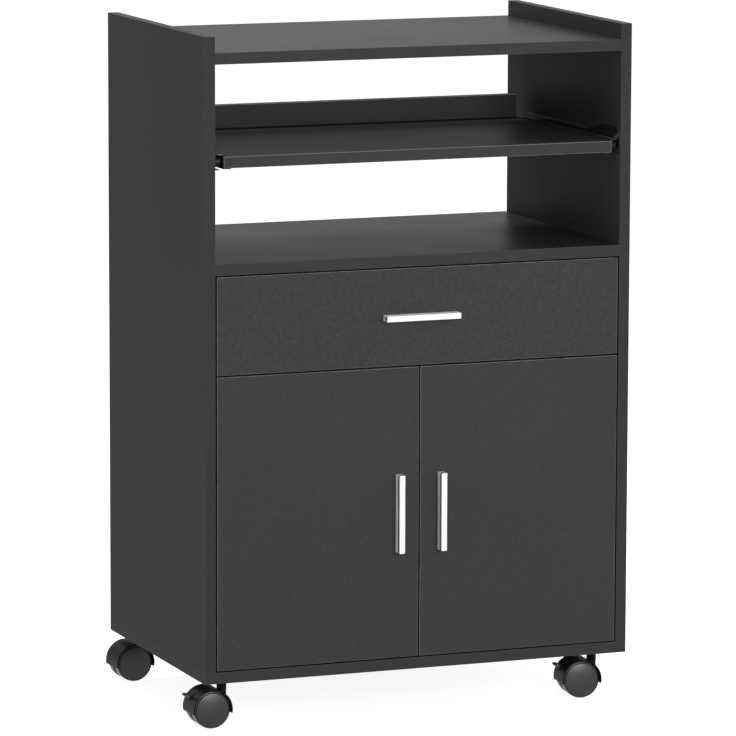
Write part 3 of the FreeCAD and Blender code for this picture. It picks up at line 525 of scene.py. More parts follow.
@dataclass(frozen=True)
class StovedSteel:
    """Sheet steel in black stove enamel, rubbed bright where rollers run; those bright streaks on
    the top faces are also a painted highlight.
    """

    name: str
    tone: Colour
    # The bare metal's colour, also that of the painted highlight on the top faces
    bare_and_highlit: Colour = (0.30, 0.30, 0.31)
    gloss: float = 0.12
    roughness: float = 0.42
    edge: float = 0.6 * MM
    peel: Pattern = Pattern(700.0, 2.0)
    peel_depth: float = 0.03 * MM
    dust: Pattern = Pattern(90.0, 4.0)
    dust_span: tuple[float, float] = (0.35, 0.75)
    dust_lift: float = 1.8
    dust_rough: float = 0.25
    streaks: Pattern = Pattern(60.0, 3.0, (0.38, 0.6), (5.0, 0.12, 5.0))
    track_span: tuple[float, float] = (0.7, 0.95)
    track_share: float = 0.7
    track_rough: float = -0.1
    edge_patches: Pattern = Pattern(55.0, 3.0, (0.3, 0.55))
    edge_share: float = 0.6

    def build(self) -> bpy.types.Material:
        """Build the enamel's material.

        Returns:
            The material.
        """
        surface = Surface(self.name)
        dust = surface.noise(self.dust)
        # The top faces turn to paler bare metal in streaks along their length: roller wear, and
        # also a painted highlight along the flanges
        rubbed = surface.facing(Axis.Z).ramp(*self.track_span) * surface.noise(self.streaks)
        rim = surface.edges(self.edge) * surface.noise(self.edge_patches)
        bare_and_highlit = (rubbed * self.track_share + rim * self.edge_share).at_most(1.0)
        coat = surface.blend(dust.ramp(*self.dust_span), self.tone,
                             scaled(self.tone, self.dust_lift))
        return surface.finish({
            "Base Color": surface.blend(bare_and_highlit, coat, self.bare_and_highlit),
            "Metallic": bare_and_highlit,
            "Specular IOR Level": self.gloss,
            "Roughness": self.roughness + (dust - 0.5) * self.dust_rough
                         + rubbed * self.track_rough,
            "Normal": surface.bump(surface.noise(self.peel), self.peel_depth)})


@dataclass(frozen=True)
class SatinMetal:
    """Drawn or plated metal with fine lines along one axis, and rubbed edges."""

    name: str
    tone: Colour
    along: Axis
    roughness: float = 0.3
    line_share: float = 0.5
    metallic: float = 1.0
    paling: float = 1.12
    edge: float = 0.5 * MM
    # Painted shade in the side groove: the band's depths and its colour
    groove: tuple[float, float] | None = None
    groove_shade: Colour = (0.02, 0.02, 0.021)
    shade: float = 0.86
    lines: Pattern = Pattern(2600.0, 3.0)
    line_draw: float = 0.02
    line_depth: float = 0.012 * MM
    line_rough: float = 0.16
    smears: Pattern = Pattern(45.0, 3.0)
    smear_share: float = 0.3
    smear_rough: float = 0.1
    edge_share: float = 0.6

    def build(self) -> bpy.types.Material:
        """Build the metal's material.

        Returns:
            The material.
        """
        surface = Surface(self.name)
        stretch = tuple(self.line_draw if share else 1.0 for share in self.along.value)
        height = surface.noise(replace(self.lines, stretch=stretch))
        line = height - 0.5
        smear = surface.noise(self.smears) - 0.5
        body = surface.blend(line * self.line_share + smear * self.smear_share + 0.5,
                             scaled(self.tone, self.shade), self.tone)
        colour = surface.blend(surface.edges(self.edge) * self.edge_share, body,
                               scaled(self.tone, self.paling))
        # Painted shade: the band between the side groove's front and end depths is darkened, as the
        # groove would lie in shade
        if self.groove is not None:
            colour = surface.blend(surface.between(Axis.Y, *self.groove), colour, self.groove_shade)
        return surface.finish({
            "Base Color": colour,
            "Metallic": self.metallic,
            "Roughness": self.roughness + line * self.line_rough + smear * self.smear_rough,
            "Normal": surface.bump(height, self.line_depth)})


@dataclass(frozen=True)
class MouldedNylon:
    """Injection-moulded plastic with a spark-eroded texture and scuffs."""

    name: str
    tone: Colour
    roughness: float = 0.4
    texture_depth: float = 0.05 * MM
    gloss: float = 0.4
    # How much paler the scuffs and the edges get; on the edges this is partly a painted highlight
    paling: float = 2.4
    edge: float = 0.6 * MM
    texture: Pattern = Pattern(1500.0, 3.0)
    shades: tuple[float, float] = (0.8, 1.25)
    flow: Pattern = Pattern(26.0, 4.0)
    flow_rough: float = 0.14
    scuffs: Pattern = Pattern(130.0, 5.0, (0.62, 0.78), (1.0, 1.0, 0.35))
    scuff_share: float = 0.35
    scuff_rough: float = 0.1
    edge_patches: Pattern = Pattern(70.0, 3.0, (0.3, 0.6))
    edge_share: float = 0.8

    def build(self) -> bpy.types.Material:
        """Build the plastic's material.

        Returns:
            The material.
        """
        surface = Surface(self.name)
        flow = surface.noise(self.flow)
        scuff = surface.noise(self.scuffs)
        # Edges paled in patches: partly rubbed wear, partly a painted highlight
        rubbed = surface.edges(self.edge) * surface.noise(self.edge_patches)
        pale = (scuff * self.scuff_share + rubbed * self.edge_share).at_most(1.0)
        body = surface.blend(flow, *(scaled(self.tone, share) for share in self.shades))
        return surface.finish({
            "Base Color": surface.blend(pale, body, scaled(self.tone, self.paling)),
            "Roughness": self.roughness + (flow - 0.5) * self.flow_rough
                         + scuff * self.scuff_rough,
            "Specular IOR Level": self.gloss,
            "Normal": surface.bump(surface.noise(self.texture), self.texture_depth)})


class Finishes:
    """Every finish on the cart, each built once."""

    def __init__(self) -> None:
        """Build the materials."""
        satin, pebbled = Grain.SATIN, Grain.PEBBLED
        # Each board's bevelled edges get a painted highlight
        self.side = FacedBoard("faced_side", (0.041, 0.041, 0.0415), satin, bevel_highlight_lift=1.6,
                               gloss=0.018).build()
        # The case boards' level faces get painted shade
        self.board = FacedBoard("faced_board", (0.044, 0.044, 0.0445), satin, bevel_highlight_lift=1.6,
                                gloss=0.022, level_shade_share=0.4).build()
        self.shelf = FacedBoard("faced_shelf", (0.047, 0.047, 0.0475), satin, bevel_highlight_lift=5.0,
                                gloss=0.024).build()
        self.front = FacedBoard("faced_front", (0.048, 0.048, 0.0485), pebbled, 0.48,
                                speckle=2.2).build()
        self.drawer = FacedBoard("drawer_front", (0.049, 0.049, 0.0495), pebbled, 0.48,
                                 speckle=3.4, mottle=1.4).build()
        self.thin = FacedBoard("thin_board", (0.040, 0.040, 0.0405), Grain.PAPER, 0.6,
                               speckle=1.3, mottle=0.0).build()
        self.enamel = StovedSteel("stoved_steel", (0.008, 0.008, 0.008)).build()
        # The handles get painted shade in their side grooves
        self.handle_flat, self.handle_tall = (
            SatinMetal(f"satin_aluminium_{word}", (0.90, 0.90, 0.91), axis, 0.42, metallic=0.15,
                       groove=(GROOVE_FRONT, GROOVE_END)).build()
            for word, axis in (("flat", Axis.X), ("tall", Axis.Z)))
        self.nickel = SatinMetal("nickel_plate", (0.66, 0.65, 0.63), Axis.Y, 0.28, 0.3).build()
        self.zinc = SatinMetal("zinc_plate", (0.60, 0.61, 0.63), Axis.Z, 0.36, 0.4).build()
        # The hood's scuffs and edges are painted nine times paler; on its edges this is a painted
        # highlight as well as wear
        self.hood = MouldedNylon("hood_nylon", (0.007, 0.007, 0.007), gloss=0.05,
                                 paling=9.0).build()
        self.lever = MouldedNylon("lever_nylon", (0.022, 0.022, 0.022), 0.3, 0.03 * MM, 0.5,
                                  paling=3.0).build()
        self.wheel = MouldedNylon("wheel_nylon", (0.011, 0.011, 0.011), 0.3, 0.03 * MM,
                                  0.5).build()
        self.roller = MouldedNylon("roller_nylon", (0.006, 0.006, 0.006), 0.3, 0.02 * MM,
                                   0.12).build()
        self.catch = MouldedNylon("catch_plastic", (0.02, 0.02, 0.02), 0.45).build()


def dress(material: bpy.types.Material, nodes: Iterable[str]) -> None:
    """Give nodes of the frame a finish.

    Args:
        material: The finish.
        nodes: The nodes' names.
    """
    for name in nodes:
        for holder in frame["nodes"][name].material_slots:
            holder.material = material
        LOG.info("dressed %s with %s", name, material.name)


# Forms


def add_object(name: str, data: bpy.types.ID) -> bpy.types.Object:
    """Put new data in the scene.

    Args:
        name: The object's name.
        data: A mesh, lamp or camera.

    Returns:
        The object, linked at the origin.
    """
    thing = bpy.data.objects.new(name, data)
    bpy.context.scene.collection.objects.link(thing)
    return thing


def settle(piece: bpy.types.Object, body: str, slot: str, *nodes: str) -> bpy.types.Object:
    """Put a finished piece on its body.

    Args:
        piece: The piece, at the origin.
        body: The body that carries it.
        slot: The record's material slot; it is not used.
        nodes: The nodes that it stands for.

    Returns:
        The piece.
    """
    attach(piece, body)
    if nodes:
        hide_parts(*nodes)
    LOG.info("made %s, %d faces, on %s", piece.name, len(piece.data.polygons), body)
    return piece


def object_from(name: str, form: bmesh.types.BMesh, material: bpy.types.Material,
                sharp: float = SHARP_ANGLE) -> bpy.types.Object:
    """Turn a form into an object, smooth between its sharp edges.

    Args:
        name: The object's name.
        form: The form, which is freed.
        material: Its finish.
        sharp: The angle, in degrees, from which an edge stays sharp.

    Returns:
        The object, linked at the origin.
    """
    mesh = bpy.data.meshes.new(name)
    form.to_mesh(mesh)
    form.free()
    mesh.materials.clear()
    mesh.materials.append(material)
    mesh.shade_smooth()
    mesh.set_sharp_from_angle(angle=math.radians(sharp))
    return add_object(name, mesh)


def stand_in(node: str, form: bmesh.types.BMesh, material: bpy.types.Material,
             sharp: float = SHARP_ANGLE, width: float = 0.0) -> bpy.types.Object:
    """Make a form the piece that stands for a node.

    Args:
        node: The node's name.
        form: The form, which is freed.
        material: The piece's finish.
        sharp: The angle, in degrees, from which an edge stays sharp.
        width: How far a live bevel rounds the sharp edges, in metres.

    Returns:
        The piece.
    """
    piece = object_from(f"{node}_form", form, material, sharp)
    if width > 0.0:
        bevel = piece.modifiers.new("rounded", "BEVEL")
        bevel.width = width
        bevel.segments = BEVEL_SEGMENTS
        bevel.limit_method = "ANGLE"
        bevel.angle_limit = math.radians(sharp)
        bevel.harden_normals = True
        bevel.use_clamp_overlap = True
    return settle(piece, BODY_OF[node], SLOT_OF[node], node)


def refined(node: str, material: bpy.types.Material, width: float,
            change: Callable[[Vector], None] | None = None) -> bpy.types.Object:
    """Put a merged, smoothed copy with rounded edges in a node's place.

    Args:
        node: The node's name.
        material: The piece's finish.
        width: How far the edges are rounded, in metres.
        change: Moves one corner of the copy, where the form differs a little from the solid.

    Returns:
        The piece.
    """
    form = bmesh.new()
    form.from_mesh(frame["nodes"][node].data)
    bmesh.ops.remove_doubles(form, verts=form.verts[:], dist=MERGE)
    if change is not None:
        for vert in form.verts:
            change(vert.co)
    bmesh.ops.dissolve_limit(form, angle_limit=math.radians(FLAT_ANGLE), verts=form.verts[:],
                             edges=form.edges[:])
    return stand_in(node, form, material, width=width)


def skin(form: bmesh.types.BMesh, rings: Sequence[Sequence[bmesh.types.BMVert]],
         steps: int) -> None:
    """Join each ring of corners to the next with faces.

    Args:
        form: The form to add to.
        rings: The rings in order, each with a corner for every step, or one corner for a pole.
        steps: Corners in a full ring.
    """
    for first, second in zip(rings, rings[1:]):
        for index in range(steps):
            following = (index + 1) % steps
            corners = (first[index % len(first)], first[following % len(first)],
                       second[following % len(second)], second[index % len(second)])
            form.faces.new(list(dict.fromkeys(corners)))


def lathe(form: bmesh.types.BMesh, profile: Sequence[tuple[float, float]], steps: int,
          where: Matrix) -> None:
    """Turn a profile about an axis and add it to a form.

    Args:
        form: The form to add to.
        profile: Radius and height pairs in metres, from pole to pole.
        steps: Divisions of the full turn.
        where: Places the turned shape, whose axis is its own Z.
    """
    turns = [2 * math.pi * index / steps for index in range(steps)]
    rings = []
    for radius, height in profile:
        spots = (Vector((radius * math.cos(turn), radius * math.sin(turn), height))
                 for turn in (turns if radius > 0.0 else turns[:1]))
        rings.append([form.verts.new(where @ spot) for spot in spots])
    skin(form, rings, steps)


# Repeated fixings


@dataclass(frozen=True)
class Head:
    """A kind of screw or rivet head."""

    radius: float = 3.5 * MM
    height: float = 1.4 * MM
    recess: Recess = Recess.CROSS
    top_share: float = 0.62
    recess_share: float = 0.36
    recess_lift: float = 0.75
    sides: int = 24


@dataclass
class HeadRow:
    """Heads in a straight row, made by a node tree and turned into one plain mesh."""

    start: Vector
    step: Vector
    count: int
    outward: Vector
    head: Head = Head()

    @classmethod
    def pair(cls, middle: Vector, half: Vector, outward: Vector, head: Head) -> "HeadRow":
        """Plan two heads, one on each side of a point.

        Args:
            middle: The point between them.
            half: The way from that point to the second head.
            outward: The way they face.
            head: Their kind.

        Returns:
            The row.
        """
        return cls(middle - half, 2 * half, 2, outward, head)

    def tree(self, material: bpy.types.Material) -> bpy.types.NodeTree:
        """Build the node tree of one row.

        Args:
            material: The heads' finish.

        Returns:
            The tree, with its sizes as named inputs.
        """
        tree = bpy.data.node_groups.new("head_row", "GeometryNodeTree")
        graph = Graph(tree)
        for label, kind in (("Count", "Int"), ("Start", "Vector"), ("Step", "Vector"),
                            ("Head Radius", "Float"), ("Head Height", "Float"), ("Turn", "Vector")):
            tree.interface.new_socket(label, in_out="INPUT", socket_type=f"NodeSocket{kind}")
        tree.interface.new_socket("Geometry", in_out="OUTPUT", socket_type="NodeSocketGeometry")
        given = graph.node("NodeGroupInput", {}, {}).outputs
        radius = Value(graph, given["Head Radius"])
        height = Value(graph, given["Head Height"])
        line = graph.node("GeometryNodeMeshLine", {"mode": "OFFSET"}, {
            "Count": given["Count"], "Start Location": given["Start"], "Offset": given["Step"]})
        head = graph.node("GeometryNodeMeshCone", {"fill_type": "NGON"}, {
            "Vertices": self.head.sides, "Side Segments": 1, "Depth": height,
            "Radius Top": radius * self.head.top_share, "Radius Bottom": radius}).outputs["Mesh"]
        if self.head.recess is not Recess.NONE:
            slot = graph.node("GeometryNodeMeshCylinder", {"fill_type": "NGON"}, {
                "Vertices": self.head.recess.value, "Radius": radius * self.head.recess_share,
                "Depth": height})
            lift = graph.node("ShaderNodeCombineXYZ", {}, {"Z": height * self.head.recess_lift})
            raised = graph.node("GeometryNodeTransform", {}, {
                "Geometry": slot.outputs["Mesh"], "Translation": lift.outputs[0]})
            how = {"operation": "DIFFERENCE", "solver": "EXACT"}
            head = graph.node("GeometryNodeMeshBoolean", how, {
                "Mesh 1": head, "Mesh 2": raised.outputs["Geometry"]}).outputs["Mesh"]
        spread = graph.node("GeometryNodeInstanceOnPoints", {}, {
            "Points": line.outputs["Mesh"], "Instance": head, "Rotation": given["Turn"]})
        real = graph.node("GeometryNodeRealizeInstances", {}, {"Geometry": spread.outputs[0]})
        painted = graph.node("GeometryNodeSetMaterial", {}, {
            "Geometry": real.outputs[0], "Material": material})
        graph.node("NodeGroupOutput", {}, {"Geometry": painted.outputs[0]})
        return tree

    def mesh(self, material: bpy.types.Material) -> bpy.types.Mesh:
        """Evaluate the tree.

        Args:
            material: The heads' finish.

        Returns:
            A plain mesh with the whole row.
        """
        holder = add_object("head_row_holder", bpy.data.meshes.new("head_row_base"))
        tree = self.tree(material)
        modifier = holder.modifiers.new("row", "NODES")
        modifier.node_group = tree
        turn = self.outward.to_track_quat("Z", "Y").to_euler()
        values = {"Count": self.count, "Start": tuple(self.start), "Step": tuple(self.step),
                  "Head Radius": self.head.radius, "Head Height": self.head.height,
                  "Turn": tuple(turn)}
        for item in tree.interface.items_tree:
            if item.in_out == "INPUT":
                modifier[item.identifier] = values[item.name]
        bpy.context.view_layer.update()
        graph = bpy.context.evaluated_depsgraph_get()
        mesh = bpy.data.meshes.new_from_object(holder.evaluated_get(graph))
        bpy.data.objects.remove(holder)
        return mesh


def heads(name: str, rows: Sequence[HeadRow], material: bpy.types.Material,
          body: str) -> bpy.types.Object:
    """Join rows of heads into one piece that rides on a body.

    Args:
        name: The piece's name.
        rows: The rows, where they are at rest.
        material: The heads' finish.
        body: The body that carries the piece.

    Returns:
        The piece.
    """
    meshes = [row.mesh(material) for row in rows]
    form = bmesh.new()
    for mesh in meshes:
        form.from_mesh(mesh)
    # The rows' first slot is empty, so the joined heads are left without the finish
    return settle(object_from(name, form, meshes[0].materials[0]), body, HEAD_SLOT)


# Sub-assemblies


@dataclass
class Case:
    """The fixed case: boards, catch, and the screws of runners and bottom board."""

    sides: Sequence[str] = ("left_side_panel", "right_side_panel")
    boards: Sequence[str] = ("top_shelf", "counter_panel", "bottom_panel", "front_stretcher")
    under: float = 63 * MM
    runner_metal: float = 1 * MM
    screw_level: float = 13 * MM
    screw_pitch: float = 96 * MM
    runner_first: float = 60 * MM
    runner_screws: int = 3
    runner_head: Head = Head()
    under_first: float = 102 * MM
    under_pitch: float = 90 * MM
    under_inset: float = 7.5 * MM
    under_screws: int = 3
    under_head: Head = Head(5 * MM, 0.8 * MM, Recess.HEX)
    catch_round: float = 0.6 * MM

    def runner_rows(self) -> list[HeadRow]:
        """Plan the screws that hold the runners on the side panels.

        Returns:
            One row for each runner.
        """
        rows = []
        for word, side in SIDES:
            for thing in ("shelf", "drawer"):
                low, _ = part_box(f"{word}_{thing}_runner")
                start = Vector((side * (INNER_HALF - self.runner_metal),
                                low[1] + self.runner_first, low[2] + self.screw_level))
                rows.append(HeadRow(start, Axis.Y.vector(self.screw_pitch), self.runner_screws,
                                    Vector((-side, 0.0, 0.0)), self.runner_head))
        return rows

    def under_rows(self) -> list[HeadRow]:
        """Plan the screws up through the bottom board into the side panels.

        Returns:
            One row for each side.
        """
        rows = []
        for _, side in SIDES:
            start = Vector((side * (INNER_HALF + self.under_inset),
                            CASE_FRONT + self.under_first, self.under))
            rows.append(HeadRow(start, Axis.Y.vector(self.under_pitch), self.under_screws,
                                -Axis.Z.vector(), self.under_head))
        return rows

    def build(self, finishes: Finishes) -> list[bpy.types.Object]:
        """Dress the case and make its small fixings.

        Args:
            finishes: The cart's finishes.

        Returns:
            The pieces made.
        """
        dress(finishes.side, self.sides)
        dress(finishes.board, self.boards)
        dress(finishes.thin, ["back_panel"])
        return [
            refined("magnet_catch", finishes.catch, self.catch_round),
            heads("runner_screw_heads", self.runner_rows(), finishes.zinc, "case"),
            heads("bottom_screw_heads", self.under_rows(), finishes.zinc, "case"),
        ]


@dataclass
class SlidingUnit:
    """The pull-out shelf or the drawer, with its roller slides."""

    name: str
    boards: Sequence[str]
    slide_first: float = 30 * MM
    slide_pitch: float = 110 * MM
    lip_middle: float = 5 * MM
    lip_screws: int = 3
    lip_head: Head = Head(3 * MM, 0.9 * MM)
    rivet: Head = Head(3.1 * MM, 0.7 * MM, Recess.NONE, 0.55)
    runner_round: float = 0.3 * MM
    slide_round: float = 0.35 * MM
    roller_round: float = 0.5 * MM
    nose_level: float = 23.5 * MM
    nose_depth: float = 60 * MM
    nose_rim: float = 2.4 * MM

    def lip_rows(self) -> list[HeadRow]:
        """Plan the screws up through the slides' lips.

        Returns:
            One row for each side.
        """
        rows = []
        for word, side in SIDES:
            low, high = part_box(f"{word}_{self.name}_slide")
            inner = high[0] if side < 0 else low[0]
            start = Vector((inner + side * self.lip_middle, low[1] + self.slide_first, low[2]))
            rows.append(HeadRow(start, Axis.Y.vector(self.slide_pitch), self.lip_screws,
                                -Axis.Z.vector(), self.lip_head))
        return rows

    def narrow_nose(self, node: str) -> Callable[[Vector], None]:
        """Plan how the raised nose of a case member narrows to a rim above the moving member.

        Args:
            node: The case member's node.

        Returns:
            A function that moves one corner.
        """
        low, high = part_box(node)
        left = low[0] < 0.0
        wall = low[0] if left else high[0]

        def change(spot: Vector) -> None:
            """Bring a corner of the raised nose close to the side panel.

            Args:
                spot: The corner.
            """
            if spot.z > low[2] + self.nose_level and spot.y < low[1] + self.nose_depth:
                reach = min(abs(spot.x - wall), self.nose_rim)
                spot.x = wall + reach if left else wall - reach

        return change

    def rivets(self, end: str, member: str, way: float) -> list[HeadRow]:
        """Plan the rivet heads that close the roller pins.

        Args:
            end: Which pair of rollers, front or rear.
            member: Which member carries their pins, runner or slide.
            way: 1 where the pins end towards the side panels, -1 where they end towards the middle.

        Returns:
            A row of one head for each side.
        """
        low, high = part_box(f"{self.name}_{end}_rollers")
        rows = []
        for word, side in SIDES:
            near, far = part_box(f"{word}_{self.name}_{member}")
            outer = far[0] if side * way > 0 else near[0]
            spot = Vector((outer, (low[1] + high[1]) / 2, (low[2] + high[2]) / 2))
            rows.append(HeadRow(spot, Vector(), 1, Vector((side * way, 0.0, 0.0)), self.rivet))
        return rows

    def build(self, finishes: Finishes) -> list[bpy.types.Object]:
        """Dress the unit and make its slides, rollers and fixings.

        Args:
            finishes: The cart's finishes.

        Returns:
            The pieces made.
        """
        dress(finishes.shelf, self.boards)
        pieces = []
        for word, _ in SIDES:
            runner = f"{word}_{self.name}_runner"
            pieces.append(refined(runner, finishes.enamel, self.runner_round,
                                  self.narrow_nose(runner)))
            pieces.append(refined(f"{word}_{self.name}_slide", finishes.enamel, self.slide_round))
        for end in ("front", "rear"):
            pieces.append(refined(f"{self.name}_{end}_rollers", finishes.roller, self.roller_round))
        for what, rows, body in (("lip_screw_heads", self.lip_rows(), self.name),
                                 ("front_rivets", self.rivets("front", "runner", -1.0), "case"),
                                 ("rear_rivets", self.rivets("rear", "slide", 1.0), self.name)):
            pieces.append(heads(f"{self.name}_{what}", rows, finishes.zinc, body))
        return pieces


@dataclass(frozen=True)
class BarHandle:
    """A bar handle with grooved sides, and the two screws that hold it from behind its panel."""

    node: str
    panel: str
    along: Axis
    reach: float = 48 * MM
    rounding: float = 0.35 * MM
    near_enough: float = 0.1 * MM
    head: Head = Head(4 * MM, 2.4 * MM)

    def widen_groove(self, spot: Vector) -> None:
        """Move a corner at the back of a side groove, so that the groove reaches further back."""
        if abs(spot.y - GROOVE_BACK) < self.near_enough:
            spot.y = GROOVE_END

    def bar(self, material: bpy.types.Material) -> bpy.types.Object:
        """Return the bar, made from its node with a wider groove, in the given finish."""
        return refined(self.node, material, self.rounding, self.widen_groove)

    def screws(self) -> HeadRow:
        """Plan the two screws.

        Returns:
            Their row.
        """
        low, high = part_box(self.node)
        middle = (Vector(low) + Vector(high)) / 2
        middle.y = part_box(self.panel)[1][1]
        return HeadRow.pair(middle, self.along.vector(self.reach), Axis.Y.vector(), self.head)


@dataclass
class Drawer(SlidingUnit):
    """The drawer: front with its bar handle, and the box behind it."""

    handle: BarHandle = BarHandle("drawer_handle", "drawer_front", Axis.X)

    def build(self, finishes: Finishes) -> list[bpy.types.Object]:
        """Dress the drawer and make its handle and fixings.

        Args:
            finishes: The cart's finishes.

        Returns:
            The pieces made.
        """
        pieces = super().build(finishes)
        dress(finishes.drawer, ["drawer_front"])
        dress(finishes.thin, ["drawer_bottom"])
        pieces.append(self.handle.bar(finishes.handle_flat))
        pieces.append(heads("drawer_handle_screws", [self.handle.screws()], finishes.zinc,
                            "drawer"))
        return pieces


@dataclass
class Door:
    """A door with its handle, hinge cups, links and strike plate."""

    side: str
    cup_ear: float = 20 * MM
    cup_half: float = 24 * MM
    cup_round: float = 0.3 * MM
    plate_round: float = 0.25 * MM
    ear_head: Head = Head(2.8 * MM, 0.9 * MM)

    def build(self, finishes: Finishes) -> list[bpy.types.Object]:
        """Dress the door and make its fittings.

        Args:
            finishes: The cart's finishes.

        Returns:
            The pieces made.
        """
        door = f"{self.side}_door"
        cups = f"{door}_hinge_cups"
        handle = BarHandle(f"{door}_handle", door, Axis.Z)
        dress(finishes.front, [door])
        pieces = [
            handle.bar(finishes.handle_tall),
            refined(cups, finishes.nickel, self.cup_round),
            refined(f"{self.side}_hinge_links", finishes.nickel, self.plate_round),
            refined(f"{door}_strike_plate", finishes.zinc, self.plate_round),
        ]
        low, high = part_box(cups)
        middle = (low[0] + high[0]) / 2
        rows = [HeadRow.pair(Vector((middle, high[1], level)), Axis.Z.vector(self.cup_ear),
                             Axis.Y.vector(), self.ear_head)
                for level in (low[2] + self.cup_half, high[2] - self.cup_half)]
        rows.append(handle.screws())
        pieces.append(heads(f"{door}_screw_heads", rows, finishes.zinc, door))
        return pieces


@dataclass
class HingeMounts:
    """The plates and arms of the cup hinges on the case, with their screws."""

    metal: float = 2 * MM
    arm_depth: float = 11 * MM
    mount_back: float = 37 * MM
    wing_reach: float = 17 * MM
    arm_screw_back: float = 50 * MM
    arm_screw_pitch: float = 9 * MM
    arm_screws: int = 2
    arm_head: Head = Head(2.9 * MM, 0.8 * MM)
    wing_head: Head = Head(3.2 * MM, 1.1 * MM)
    plate_half: float = 23 * MM
    plate_round: float = 0.4 * MM
    arm_round: float = 0.3 * MM

    def build(self, finishes: Finishes) -> list[bpy.types.Object]:
        """Make the mounts, the arms and their screws.

        Args:
            finishes: The cart's finishes.

        Returns:
            The pieces made.
        """
        pieces = [refined("hinge_plates", finishes.nickel, self.plate_round),
                  refined("hinge_arms", finishes.nickel, self.arm_round)]
        low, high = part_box("hinge_plates")
        rows = []
        for _, side in SIDES:
            inward = Vector((-side, 0.0, 0.0))
            face = side * (INNER_HALF - self.metal)
            for level in (low[2] + self.plate_half, high[2] - self.plate_half):
                wing = Vector((face, CASE_FRONT + self.mount_back, level))
                rows.append(HeadRow.pair(wing, Axis.Z.vector(self.wing_reach), inward,
                                         self.wing_head))
                arm = Vector((face - side * self.arm_depth, CASE_FRONT + self.arm_screw_back,
                              level))
                rows.append(HeadRow(arm, Axis.Y.vector(self.arm_screw_pitch), self.arm_screws,
                                    inward, self.arm_head))
        pieces.append(heads("hinge_screw_heads", rows, finishes.zinc, "case"))
        return pieces


